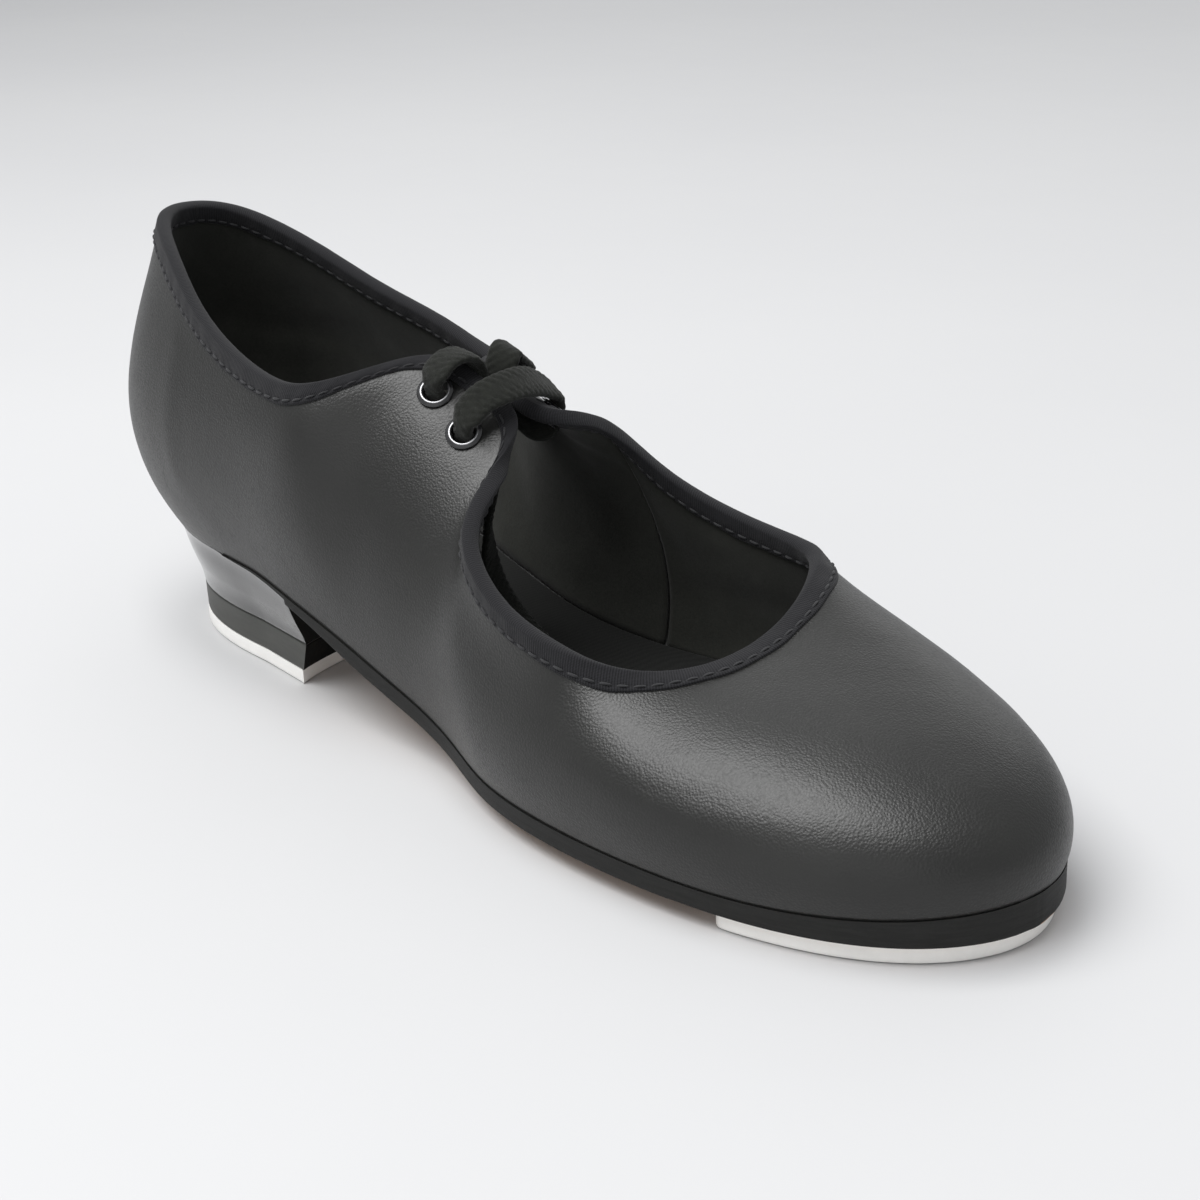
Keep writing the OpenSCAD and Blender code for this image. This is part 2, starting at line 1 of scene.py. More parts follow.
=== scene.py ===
"""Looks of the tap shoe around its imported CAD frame.

Shapes are worked out in millimetres in the drawing frame of the shoe, where
x = 0 is near the back of the heel, and are moved to the row frame (metres,
origin under the middle of the shoe) by to_row().
"""
import json
import math

import bmesh
import bpy
import numpy as np
from mathutils import Matrix, Vector

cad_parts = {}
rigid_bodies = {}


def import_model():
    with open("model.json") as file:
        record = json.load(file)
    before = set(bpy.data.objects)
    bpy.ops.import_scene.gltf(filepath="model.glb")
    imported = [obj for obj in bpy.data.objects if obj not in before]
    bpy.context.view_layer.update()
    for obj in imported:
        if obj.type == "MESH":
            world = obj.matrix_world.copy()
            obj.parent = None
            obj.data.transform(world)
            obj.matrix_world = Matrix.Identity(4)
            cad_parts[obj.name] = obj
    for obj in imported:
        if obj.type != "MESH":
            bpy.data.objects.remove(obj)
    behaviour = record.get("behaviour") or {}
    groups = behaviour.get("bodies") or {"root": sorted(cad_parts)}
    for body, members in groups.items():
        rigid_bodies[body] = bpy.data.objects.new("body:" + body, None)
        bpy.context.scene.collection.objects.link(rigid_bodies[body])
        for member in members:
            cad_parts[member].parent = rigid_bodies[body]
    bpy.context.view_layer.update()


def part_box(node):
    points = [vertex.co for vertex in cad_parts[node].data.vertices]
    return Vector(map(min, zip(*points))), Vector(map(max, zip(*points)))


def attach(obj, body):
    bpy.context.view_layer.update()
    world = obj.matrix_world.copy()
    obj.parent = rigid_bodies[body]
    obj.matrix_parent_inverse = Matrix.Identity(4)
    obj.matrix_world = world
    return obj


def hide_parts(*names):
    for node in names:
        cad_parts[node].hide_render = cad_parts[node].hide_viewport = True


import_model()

# ---------------------------------------------------------------- the frame
HEEL_TAP_BACK = 5.0  # x of the heel tap's back edge in the drawing frame, mm
MIDDLE_Y = -0.5      # y of the row's origin in the drawing frame, mm
MIDDLE_X = HEEL_TAP_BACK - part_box("heel_tap")[0].x * 1000
CENTRE = np.array([round(MIDDLE_X, 1), MIDDLE_Y, 0.0])


def to_row(points):
    return (np.asarray(points, float) - CENTRE) / 1000.0


# ------------------------------------------------------- the form of the last
SEAT_RISE, TOE_SPRING = 17.8, 2.6
SEAT_END, TREAD_START, TREAD_END, TOE_TIP = 48.0, 140.0, 190.0, 240.0
TAP_T, SOLE_T, LIFT_H = 3.2, 4.0, 7.0
UPPER_T, LINING_T = 1.2, 0.8
CLEAR = 0.1

# Control ribs from the heel to the toe tip, as in the CAD source:
# feather x, y; outward angle; pull out and up at the feather edge;
# topline x, y, z; pull out and up at the topline; medial feather y, topline y, z
RIBS = np.array([
    [2, 0, 0, 22, 26, -2, 0, 94, 8, -25, 0, 0, 94],
    [6, -17, 38, 20, 26, 2, -12, 94, 8, -25, -19, -12, 92],
    [21, -23, 70, 16, 26, 20, -20, 89, 8, -22, -25, -20, 84],
    [37, -25, 84, 12, 26, 37, -26, 80, 6, -20, -26, -24, 76],
    [52, -26, 88, 9, 26, 55, -29, 74, 4, -16, -26, -28, 71],
    [66, -28, 90, 7, 26, 72, -30, 71, 5, -14, -24, -27, 66],
    [79, -28, 90, 6, 26, 84, -28, 73, 10, -10, -22, -24, 68],
    [91, -28, 90, 6, 24, 94, -6, 79, 18, -6, -22, -3, 75],
    [101, -28, 90, 7, 22, 104, -4, 74, 20, -4, -22, -2, 72],
    [112, -28, 90, 8, 22, 117, -1, 67, 20, -4, -24, -1, 67],
    [123, -30, 90, 8, 20, 120, -16, 59, 9, -9, -28, -16, 66],
    [134, -34, 90, 8, 19, 125, -29, 52, 1, -15, -32, -26, 51],
    [149, -38, 92, 6, 17, 143, -35, 43, -1, -16, -36, -33, 43],
    [175, -39, 98, 6, 16, 162, -34, 40, 3, -13, -38, -34, 42],
    [208, -35, 116, 6, 15, 170, -26, 36, 12, -9, -35, -25, 44],
    [234, -22, 148, 8, 20, 176, -14, 35, 24, -3, -21, -12, 40],
    [245, 0, 180, 8, 20, 177, 0, 36, 28, -1, 0, 0, 36]], float)
TOE_RIB = len(RIBS) - 1
LOOP = 2 * TOE_RIB


def ease(u):
    c = np.clip(u, 0, 1)
    return c * c * (3 - 2 * c)


def rise(x):
    waist = SEAT_RISE * (1 - ease((x - SEAT_END) / (TREAD_START - SEAT_END)))
    return waist + TOE_SPRING * (np.maximum(0, x - TREAD_END) / (TOE_TIP - TREAD_END)) ** 2


def feather_z(x):
    return TAP_T + SOLE_T + rise(x)


def control_ribs():
    out = []
    for side, order in ((1, range(TOE_RIB + 1)), (-1, range(TOE_RIB - 1, 0, -1))):
        for r in RIBS[list(order)]:
            a = math.radians(r[2])
            ox, oy = -math.cos(a), -side * math.sin(a)
            foot_y, top_y, top_z = (r[1], r[6], r[7]) if side > 0 else r[10:13]
            out.append([r[0], side * foot_y, r[3] * ox, r[3] * oy, r[4],
                        r[5], side * top_y, top_z, r[8] * ox, r[8] * oy, r[9]])
    return np.array(out)


CONTROL = control_ribs()


def ribs_at(t):
    """Four control points of the rib at each loop position t."""
    s = np.atleast_1d(np.asarray(t, float)) + LOOP
    i = np.floor(s).astype(int)
    f = (s - i)[:, None]
    g = 1 - f
    weights = [g**3, 3*f**3 - 6*f*f + 4, 3*g**3 - 6*g*g + 4, f**3]
    r = sum(w / 6 * CONTROL[(i - 1 + k) % LOOP] for k, w in enumerate(weights))
    foot = np.stack([r[:, 0], r[:, 1], feather_z(r[:, 0])], 1)
    top = r[:, 5:8]
    return np.stack([foot, foot + r[:, 2:5], top + r[:, 8:11], top], 1)


def on_ribs(q, v):
    v = np.asarray(v, float)[..., None]
    u = 1 - v
    return (u**3 * q[..., 0, :] + 3*u*u*v * q[..., 1, :]
            + 3*u*v*v * q[..., 2, :] + v**3 * q[..., 3, :])


def along_ribs(q, v):
    v = np.asarray(v, float)[..., None]
    u = 1 - v
    return 3 * (u*u * (q[..., 1, :] - q[..., 0, :]) + 2*u*v * (q[..., 2, :] - q[..., 1, :])
                + v*v * (q[..., 3, :] - q[..., 2, :]))


def unit(a):
    return a / np.maximum(np.linalg.norm(a, axis=-1, keepdims=True), 1e-9)


STEP = 0.05


def surface(t, v):
    """Point, outward normal and rib tangent at loop positions t and heights v."""
    t, v = np.broadcast_arrays(np.asarray(t, float), np.asarray(v, float))
    shape = t.shape
    flat, fv = t.ravel(), v.ravel()
    q = ribs_at(flat)
    ahead, behind = ribs_at(flat + STEP), ribs_at(flat - STEP)
    p = on_ribs(q, fv)
    up = along_ribs(q, fv)
    n = unit(np.cross(on_ribs(ahead, fv) - on_ribs(behind, fv), up))
    return p.reshape(shape + (3,)), n.reshape(shape + (3,)), up.reshape(shape + (3,))


def skin(t, v, depth=0.0):
    p, n, _ = surface(t, v)
    return p - np.asarray(depth, float)[..., None] * n


def foot_inset(t, inset):
    """Plan points at an inset from the feather edge."""
    q, ahead, behind = ribs_at(t), ribs_at(np.asarray(t) + STEP), ribs_at(np.asarray(t) - STEP)
    d = ahead[:, 0, :2] - behind[:, 0, :2]
    out = unit(np.stack([d[:, 1], -d[:, 0]], 1))
    return q[:, 0, :2] - inset * out


# ------------------------------------------------------------- mesh helpers
def grid_faces(rows, cols, wrap_rows=False, wrap_cols=False):
    i = np.arange(rows if wrap_rows else rows - 1)
    j = np.arange(cols if wrap_cols else cols - 1)
    a, b = np.meshgrid(i, j, indexing="ij")
    a1, b1 = (a + 1) % rows, (b + 1) % cols
    quads = np.stack([a*cols + b, a1*cols + b, a1*cols + b1, a*cols + b1], -1)
    return quads.reshape(-1, 4).tolist()


def add_mesh(name, verts, faces, materials, smooth=True, face_material=None, flat=None):
    """A mesh object from drawing-frame points, in the row frame. A flat map in
    millimetres, one pair per point, lets a weave follow the piece."""
    mesh = bpy.data.meshes.new(name)
    mesh.from_pydata(to_row(verts).tolist(), [], faces)
    mesh.validate()
    obj = bpy.data.objects.new(name, mesh)
    bpy.context.scene.collection.objects.link(obj)
    for m in materials if isinstance(materials, list) else [materials]:
        mesh.materials.append(m)
    if face_material is not None:
        mesh.polygons.foreach_set("material_index", face_material)
    bm = bmesh.new()
    bm.from_mesh(mesh)
    bmesh.ops.recalc_face_normals(bm, faces=bm.faces)
    if all(e.is_manifold for e in bm.edges) and bm.calc_volume(signed=True) < 0:
        bmesh.ops.reverse_faces(bm, faces=bm.faces)
    bm.to_mesh(mesh)
    bm.free()
    mesh.polygons.foreach_set("use_smooth", [smooth] * len(mesh.polygons))
    if flat is not None:
        layer = mesh.uv_layers.new(name="flat_mm")
        corner = np.empty(len(mesh.loops), int)
        mesh.loops.foreach_get("vertex_index", corner)
        layer.data.foreach_set("uv", np.asarray(flat, float)[corner].ravel())
    return obj


def on_shoe(obj, slot, *nodes):
    """Puts a piece on the shoe in place of its CAD nodes."""
    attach(obj, "root")
    if nodes:
        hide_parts(*nodes)
    return obj


def apply_modifiers(obj):
    deps = bpy.context.evaluated_depsgraph_get()
    made = bpy.data.meshes.new_from_object(obj.evaluated_get(deps))
    obj.modifiers.clear()
    obj.data = made


def cut_with(obj, cutters):
    """Cuts closed shapes out of a piece and deletes them."""
    for c in cutters:
        m = obj.modifiers.new("cut", "BOOLEAN")
        m.operation, m.object, m.solver = "DIFFERENCE", c, "EXACT"
    apply_modifiers(obj)
    for c in cutters:
        bpy.data.objects.remove(c)


def lathe(profile, segments=48):
    """Points and faces of a turned shape about Z from (radius, height) points."""
    profile = np.asarray(profile, float)
    a = np.arange(segments) * 2 * math.pi / segments
    ring = np.stack([np.cos(a), np.sin(a)], 1)
    pts = np.concatenate([np.c_[ring * max(r, 1e-4), np.full(segments, z)] for r, z in profile])
    return pts, grid_faces(len(profile), segments, wrap_cols=True)


def axes_to(normal, hint=(0, 0, 1)):
    """Rotation whose third column is the given direction."""
    z = unit(np.asarray(normal, float))
    x = unit(np.cross(np.asarray(hint, float), z))
    return np.stack([x, np.cross(z, x), z], 1)


def merge(parts):
    """Joins (points, faces) pairs into one."""
    verts, faces, n = [], [], 0
    for p, f in parts:
        verts.append(np.asarray(p, float))
        faces += [[i + n for i in face] for face in f]
        n += len(p)
    return np.concatenate(verts), faces


# ----------------------------------------------------------------- materials
class Shader:
    """A Principled material and the few node patterns that this shoe needs."""

    def __init__(self, name, color, rough, **sockets):
        self.mat = bpy.data.materials.new(name)
        self.mat.use_nodes = True
        self.nodes = self.mat.node_tree.nodes
        self.links = self.mat.node_tree.links
        self.bsdf = self.nodes["Principled BSDF"]
        self.bsdf.inputs["Base Color"].default_value = (*color, 1)
        self.bsdf.inputs["Roughness"].default_value = rough
        for key, value in sockets.items():
            self.bsdf.inputs[key.replace("_", " ")].default_value = value
        self.coord = self.nodes.new("ShaderNodeTexCoord").outputs["Object"]
        self.per_mm = 1000.0
        self.normal = None

    def follow_piece(self):
        """Uses the piece's flat map, which is already in millimetres."""
        self.coord = self.nodes.new("ShaderNodeTexCoord").outputs["UV"]
        self.per_mm = 1.0

    def node(self, kind, **settings):
        n = self.nodes.new(kind)
        for key, value in settings.items():
            if key in n.inputs:
                n.inputs[key].default_value = value
            else:
                setattr(n, key, value)
        return n

    def scaled(self, stretch=(1, 1, 1)):
        """Object coordinates in millimetres, stretched along the axes."""
        m = self.node("ShaderNodeMapping")
        m.inputs["Scale"].default_value = [self.per_mm * s for s in stretch]
        self.links.new(self.coord, m.inputs["Vector"])
        return m.outputs["Vector"]

    def noise(self, scale, detail=4.0, rough=0.5, stretch=(1, 1, 1), distort=0.0):
        n = self.node("ShaderNodeTexNoise", Scale=scale, Detail=detail, Roughness=rough, Distortion=distort)
        self.links.new(self.scaled(stretch), n.inputs["Vector"])
        return n.outputs["Fac"]

    def voronoi(self, scale, feature="F1", stretch=(1, 1, 1), smoothness=None):
        n = self.node("ShaderNodeTexVoronoi", feature=feature, Scale=scale)
        if smoothness is not None:
            n.inputs["Smoothness"].default_value = smoothness
        self.links.new(self.scaled(stretch), n.inputs["Vector"])
        return n.outputs["Distance"]

    def wave(self, scale, direction="X", distort=0.0, stretch=(1, 1, 1)):
        n = self.node("ShaderNodeTexWave", bands_direction=direction, Scale=scale, Distortion=distort)
        self.links.new(self.scaled(stretch), n.inputs["Vector"])
        return n.outputs["Fac"]

    def ramp(self, fac, stops):
        r = self.node("ShaderNodeValToRGB")
        r.color_ramp.elements[0].position = stops[0][0]
        r.color_ramp.elements[1].position = stops[-1][0]
        for pos, _ in stops[1:-1]:
            r.color_ramp.elements.new(pos)
        for e, (_, c) in zip(r.color_ramp.elements, stops):
            e.color = (*c, 1) if isinstance(c, tuple) else (c, c, c, 1)
        self.links.new(fac, r.inputs["Fac"])
        return r.outputs["Color"]

    def mix(self, a, b, fac):
        """Blend of two values by a third; each is a socket or a number."""
        m = self.node("ShaderNodeMix", data_type="FLOAT")
        for socket, value in zip((m.inputs[0], m.inputs[2], m.inputs[3]), (fac, a, b)):
            if isinstance(value, (int, float)):
                socket.default_value = value
            else:
                self.links.new(value, socket)
        return m.outputs[0]

    def color(self, socket):
        self.links.new(socket, self.bsdf.inputs["Base Color"])

    def rough(self, fac, low, high):
        m = self.node("ShaderNodeMapRange")
        m.inputs["To Min"].default_value = low
        m.inputs["To Max"].default_value = high
        self.links.new(fac, m.inputs["Value"])
        self.links.new(m.outputs["Result"], self.bsdf.inputs["Roughness"])

    def bump(self, height, strength, millimetres):
        b = self.node("ShaderNodeBump", Strength=strength, Distance=millimetres / 1000)
        self.links.new(height, b.inputs["Height"])
        if self.normal is not None:
            self.links.new(self.normal, b.inputs["Normal"])
        self.normal = b.outputs["Normal"]
        self.links.new(self.normal, self.bsdf.inputs["Normal"])


def grained_leather():
    s = Shader("grained_pu", (0.010, 0.010, 0.0092), 0.4, Specular_IOR_Level=0.52)
    pebble = s.voronoi(2.1, "SMOOTH_F1", smoothness=0.25)
    fine = s.noise(3.6, 4.0, 0.6)
    patch = s.noise(0.35, 3.0, 0.5)
    broad = s.noise(0.05, 3.0)
    s.color(s.ramp(broad, [(0.3, (0.008, 0.008, 0.0072)), (0.7, (0.012, 0.012, 0.0108))]))
    s.rough(s.mix(pebble, patch, 0.3), 0.29, 0.50)
    s.bump(broad, 0.2, 0.8)
    s.bump(patch, 0.2, 0.06)
    s.bump(pebble, 0.6, 0.095)
    s.bump(fine, 0.45, 0.05)
    return s.mat


def woven(name, dark, light, pitch, rough=0.85, depth=0.12, sheen=0.25):
    """Cloth: two crossed sets of fine ribs with fibre noise."""
    s = Shader(name, dark, rough, Specular_IOR_Level=0.25, Sheen_Weight=sheen, Sheen_Roughness=0.5)
    warp = s.wave(1 / pitch, "DIAGONAL", 0.6)
    weft = s.wave(1 / pitch, "Z", 0.6)
    fibre = s.noise(3.0, 6.0, 0.7)
    weave = s.mix(warp, weft, 0.5)
    s.color(s.ramp(s.mix(weave, fibre, 0.4), [(0.2, dark), (0.8, light)]))
    s.bump(weave, 0.5, depth)
    s.bump(fibre, 0.35, 0.08)
    return s.mat


def ribbed_tape():
    """Binding tape: close ribs across it, crossed by finer threads along it."""
    s = Shader("binding_tape", (0.008, 0.008, 0.009), 0.85, Specular_IOR_Level=0.18, Sheen_Weight=0.08)
    s.follow_piece()
    ribs = s.wave(0.62, "X", 1.2, stretch=(1, 0.4, 1))
    threads = s.wave(1.1, "Y", 1.0)
    fuzz = s.noise(2.4, 6.0, 0.75)
    weave = s.mix(ribs, threads, 0.4)
    s.color(s.ramp(s.mix(weave, fuzz, 0.5), [(0.25, (0.004, 0.004, 0.0045)), (0.8, (0.022, 0.022, 0.025))]))
    s.bump(weave, 0.6, 0.14)
    s.bump(fuzz, 0.5, 0.12)
    return s.mat


def napped_lining():
    s = Shader("lining_cloth", (0.010, 0.010, 0.009), 0.9, Specular_IOR_Level=0.25, Sheen_Weight=0.12)
    nap = s.noise(1.8, 8.0, 0.75)
    broad = s.noise(0.12, 3.0)
    s.color(s.ramp(s.mix(nap, broad, 0.4), [(0.3, (0.014, 0.0145, 0.012)), (0.7, (0.030, 0.031, 0.026))]))
    s.bump(nap, 0.5, 0.12)
    s.bump(broad, 0.3, 0.8)
    return s.mat


def lace_yarn():
    s = Shader("lace_cotton", (0.010, 0.011, 0.009), 0.85, Specular_IOR_Level=0.2, Sheen_Weight=0.1)
    s.follow_piece()
    fibre = s.noise(3.2, 8.0, 0.8)
    tufts = s.noise(0.9, 4.0, 0.6)
    s.color(s.ramp(s.mix(fibre, tufts, 0.35),
                   [(0.34, (0.002, 0.0023, 0.0017)), (0.74, (0.019, 0.021, 0.016))]))
    s.bump(tufts, 0.4, 0.3)
    s.bump(fibre, 0.9, 0.22)
    return s.mat


def thread():
    s = Shader("stitch_thread", (0.02, 0.02, 0.021), 0.7, Specular_IOR_Level=0.3, Sheen_Weight=0.1)
    ply = s.wave(2.2, "DIAGONAL", 0.3)
    s.color(s.ramp(ply, [(0.2, (0.010, 0.010, 0.011)), (0.8, (0.032, 0.032, 0.035))]))
    s.bump(ply, 0.5, 0.08)
    return s.mat


def edge_dressing():
    """Black inked edge of the sole: matt, with faint layers and scuffs."""
    s = Shader("sole_edge_ink", (0.012, 0.012, 0.011), 0.66, Specular_IOR_Level=0.25)
    layers = s.noise(0.9, 5.0, 0.6, stretch=(0.15, 0.15, 1.6))
    scuff = s.noise(1.6, 8.0, 0.75)
    s.color(s.ramp(s.mix(layers, scuff, 0.5),
                   [(0.3, (0.006, 0.006, 0.0055)), (0.75, (0.020, 0.020, 0.0188))]))
    s.rough(scuff, 0.45, 0.75)
    s.bump(layers, 0.4, 0.2)
    s.bump(scuff, 0.5, 0.1)
    return s.mat


def tan_tread():
    """Bare tan leather of the tread and waist."""
    s = Shader("sole_tread", (0.55, 0.36, 0.24), 0.62)
    blotch = s.noise(0.06, 5.0, 0.6)
    fibre = s.noise(1.4, 7.0, 0.7, stretch=(0.3, 1, 1))
    s.color(s.ramp(s.mix(blotch, fibre, 0.35),
                   [(0.25, (0.40, 0.26, 0.17)), (0.55, (0.56, 0.38, 0.26)), (0.8, (0.66, 0.47, 0.34))]))
    s.rough(fibre, 0.5, 0.75)
    s.bump(fibre, 0.35, 0.12)
    return s.mat


def glossy_heel():
    """Moulded heel plastic with a clear glossy skin."""
    s = Shader("heel_plastic", (0.022, 0.022, 0.022), 0.22, Specular_IOR_Level=0.7,
               Coat_Weight=0.6, Coat_Roughness=0.16)
    broad = s.noise(0.08, 3.0)
    grit = s.noise(1.2, 6.0, 0.7)
    s.color(s.ramp(broad, [(0.3, (0.018, 0.018, 0.0178)), (0.7, (0.027, 0.027, 0.0266))]))
    s.rough(grit, 0.12, 0.24)
    s.bump(broad, 0.15, 0.6)
    s.bump(grit, 0.06, 0.03)
    return s.mat


def lift_rubber():
    """Dull rubber with faint upright streaks from trimming."""
    s = Shader("lift_rubber", (0.04, 0.041, 0.037), 0.55)
    grit = s.noise(1.5, 8.0, 0.75)
    streak = s.noise(0.5, 4.0, 0.6, stretch=(0.2, 0.2, 1.5))
    s.color(s.ramp(s.mix(grit, streak, 0.5), [(0.3, (0.032, 0.033, 0.029)), (0.75, (0.07, 0.071, 0.064))]))
    s.rough(grit, 0.42, 0.65)
    s.bump(grit, 0.35, 0.08)
    s.bump(streak, 0.25, 0.15)
    return s.mat


def breast_painted_shade_finish():
    """The forward faces of the heel, matt and rough, coloured darker than the heel's sides as painted shade
    for the breast's shadowed side.
    """
    s = Shader("heel_breast_painted_shade", (0.01, 0.01, 0.009), 0.8, Specular_IOR_Level=0.15)
    grit = s.noise(1.4, 6.0, 0.7)
    s.color(s.ramp(grit, [(0.3, (0.003, 0.003, 0.0026)), (0.7, (0.009, 0.009, 0.008))]))
    s.bump(grit, 0.4, 0.1)
    return s.mat


def tap_metal():
    """Tumbled aluminium: pale, satin, with fine pits and wear."""
    s = Shader("tap_aluminium", (0.93, 0.92, 0.89), 0.5, Metallic=0.15)
    pits = s.noise(1.3, 8.0, 0.75)
    broad = s.noise(0.15, 4.0)
    s.color(s.ramp(s.mix(broad, pits, 0.4),
                   [(0.25, (0.86, 0.85, 0.82)), (0.6, (0.94, 0.93, 0.90)), (0.85, (0.98, 0.97, 0.94))]))
    s.rough(pits, 0.3, 0.55)
    s.bump(pits, 0.3, 0.06)
    s.bump(broad, 0.15, 0.25)
    return s.mat


def steel(name, color, rough):
    s = Shader(name, color, rough, Metallic=1.0)
    brush = s.noise(1.5, 6.0, 0.7, stretch=(0.1, 1, 1))
    lighter = tuple(min(1.0, c * 1.25) for c in color)
    s.color(s.ramp(brush, [(0.3, color), (0.75, lighter)]))
    s.rough(brush, rough * 0.8, min(1.0, rough * 1.4))
    s.bump(brush, 0.15, 0.03)
    return s.mat


def black_lacquer():
    s = Shader("eyelet_lacquer", (0.012, 0.012, 0.013), 0.3, Coat_Weight=0.2, Coat_Roughness=0.2)
    wear = s.noise(1.5, 6.0, 0.7)
    s.color(s.ramp(wear, [(0.35, (0.012, 0.012, 0.013)), (0.8, (0.03, 0.03, 0.032))]))
    s.rough(wear, 0.16, 0.34)
    s.bump(wear, 0.1, 0.03)
    return s.mat


def aglet_film():
    s = Shader("aglet_film", (0.02, 0.02, 0.02), 0.2, Coat_Weight=0.4, Coat_Roughness=0.1)
    crimp = s.noise(1.2, 5.0, 0.6)
    s.color(s.ramp(crimp, [(0.35, (0.016, 0.016, 0.016)), (0.8, (0.035, 0.035, 0.034))]))
    s.rough(crimp, 0.15, 0.32)
    s.bump(crimp, 0.2, 0.08)
    return s.mat


def fibre_sheet(name, low, high, grain=(1, 1, 1)):
    """Boards, stiffeners, stays and felt: matt fibre of two tones."""
    s = Shader(name, low, 0.85)
    fibre = s.noise(1.2, 8.0, 0.75, stretch=grain)
    s.color(s.ramp(fibre, [(0.3, low), (0.75, high)]))
    s.bump(fibre, 0.5, 0.15)
    return s.mat


LEATHER = grained_leather()
BINDING = ribbed_tape()
LINING = napped_lining()
# The sock cloth is coloured darker than the lining: painted shade for the deep inside of the shoe.
SOCK_PAINTED_SHADE = woven("sock_cloth_painted_shade", (0.004, 0.0042, 0.0038), (0.010, 0.0105, 0.0095), 0.7, depth=0.05, sheen=0.05)
LACE = lace_yarn()
THREAD = thread()
EDGE = edge_dressing()
TREAD = tan_tread()
HEEL = glossy_heel()
LIFT = lift_rubber()
# matt finish for the heel breast; its darker colour is painted shade
BREAST_PAINTED_SHADE = breast_painted_shade_finish()
TAP = tap_metal()
BRIGHT = steel("eyelet_rim_bright", (0.36, 0.36, 0.37), 0.36)
SCREW = steel("screw_zinc", (0.62, 0.62, 0.63), 0.3)
SPRING = steel("shank_steel", (0.32, 0.32, 0.34), 0.35)
LACQUER = black_lacquer()
BOARD = fibre_sheet("insole_fibre", (0.38, 0.27, 0.16), (0.56, 0.43, 0.28))
STIFF = fibre_sheet("stiffener_fibre", (0.50, 0.44, 0.33), (0.70, 0.63, 0.5))
STAY = fibre_sheet("stay_tape", (0.60, 0.58, 0.52), (0.78, 0.76, 0.7), (3, 1, 1))
AGLET = aglet_film()
FELT = fibre_sheet("filler_felt", (0.12, 0.10, 0.08), (0.24, 0.2, 0.16))

# -------------------------------------------------------------- camera, light
EYE = np.array([432.5, -272.3, 197.2])     # drawing frame, mm
TARGET = np.array([128.2, 5.3, 30.0])
ROLL = math.radians(1.8)
LENS, SENSOR = 66.33, 36.0
FLOOR_HALF = 6000.0   # mm
FLOOR_GAP = 0.0002    # m below the taps, so that the faces don't flicker


def add_camera():
    back = unit(EYE - TARGET)
    right = unit(np.cross([0, 0, 1], back))
    up = np.cross(back, right)
    r = right * math.cos(ROLL) - up * math.sin(ROLL)
    u = right * math.sin(ROLL) + up * math.cos(ROLL)
    data = bpy.data.cameras.new("camera")
    data.lens, data.sensor_width = LENS, SENSOR
    data.clip_start, data.clip_end = 0.01, 50
    cam = bpy.data.objects.new("camera", data)
    axes = Matrix([[*row] for row in np.stack([r, u, back], 1)]).to_4x4()
    cam.matrix_world = Matrix.Translation(Vector(to_row(EYE))) @ axes
    bpy.context.scene.collection.objects.link(cam)
    bpy.context.scene.camera = cam


def add_area(name, place, aim, size, watts, color=(1, 1, 1)):
    data = bpy.data.lights.new(name, "AREA")
    data.shape, data.size, data.size_y = "RECTANGLE", size[0], size[1]
    data.energy, data.color = watts, color
    light = bpy.data.objects.new(name, data)
    light.location = place
    light.rotation_euler = (Vector(aim) - Vector(place)).to_track_quat("-Z", "Y").to_euler()
    bpy.context.scene.collection.objects.link(light)


def add_studio():
    scene = bpy.context.scene
    scene.view_settings.view_transform = "Standard"
    world = bpy.data.worlds.new("studio")
    scene.world = world
    world.use_nodes = True
    world.node_tree.nodes["Background"].inputs["Color"].default_value = (0.965, 0.98, 1.0, 1)
    world.node_tree.nodes["Background"].inputs["Strength"].default_value = 0.54
    add_area("soft_key", (-0.2, -0.4, 1.28), (0.03, 0, 0.03), (1.15, 1.15), 25.5)
    add_area("soft_fill", (0.75, -1.25, 0.45), (0.03, 0, 0.02), (1.6, 0.7), 2.0)
    add_area("soft_back", (-0.9, 1.55, 0.8), (0.03, 0, 0.04), (1.8, 0.9), 4.0)
    corners = FLOOR_HALF * np.array([[-1, -1, 0], [1, -1, 0], [1, 1, 0], [-1, 1, 0]])
    floor = add_mesh("floor", corners + CENTRE, [[0, 1, 2, 3]], floor_finish(), smooth=False)
    floor.location.z = -FLOOR_GAP


def floor_finish():
    s = Shader("pale_floor", (0.54, 0.54, 0.545), 0.6, Specular_IOR_Level=0.2)
    broad = s.noise(0.004, 3.0)
    s.color(s.ramp(broad, [(0.3, (0.532, 0.533, 0.539)), (0.7, (0.546, 0.547, 0.551))]))
    s.rough(s.noise(0.05, 4.0), 0.55, 0.65)
    return s.mat


add_camera()
add_studio()

# --------------------------------------------------------------- eyelet places
EYELETS = [(7.68, 0.865), (8.5, 0.82)]  # loop position and height, upper and lower
EYELET_R, EYELET_HOLE = 3.7, 2.5


def eyelet_frames(side):
    out = []
    for t, v in EYELETS:
        p, n, _ = surface(t if side > 0 else LOOP - t, v)
        out.append((p, axes_to(n, (1, 0, 0))))
    return out


ALL_EYELETS = eyelet_frames(1) + eyelet_frames(-1)


def eyelet_cutters(radius):
    out = []
    for p, axes in ALL_EYELETS:
        pts, faces = lathe([(0, -6), (radius, -6), (radius, 5), (0, 5)], 40)
        out.append(add_mesh("cutter", pts @ axes.T + p, faces, LEATHER))
    return out


# ----------------------------------------------------------------- the upper
def bell(x, middle, width):
    return np.exp(-((x - middle) / width) ** 2)


def from_heel(t):
    t = np.mod(t, LOOP)
    return np.minimum(t, LOOP - t)


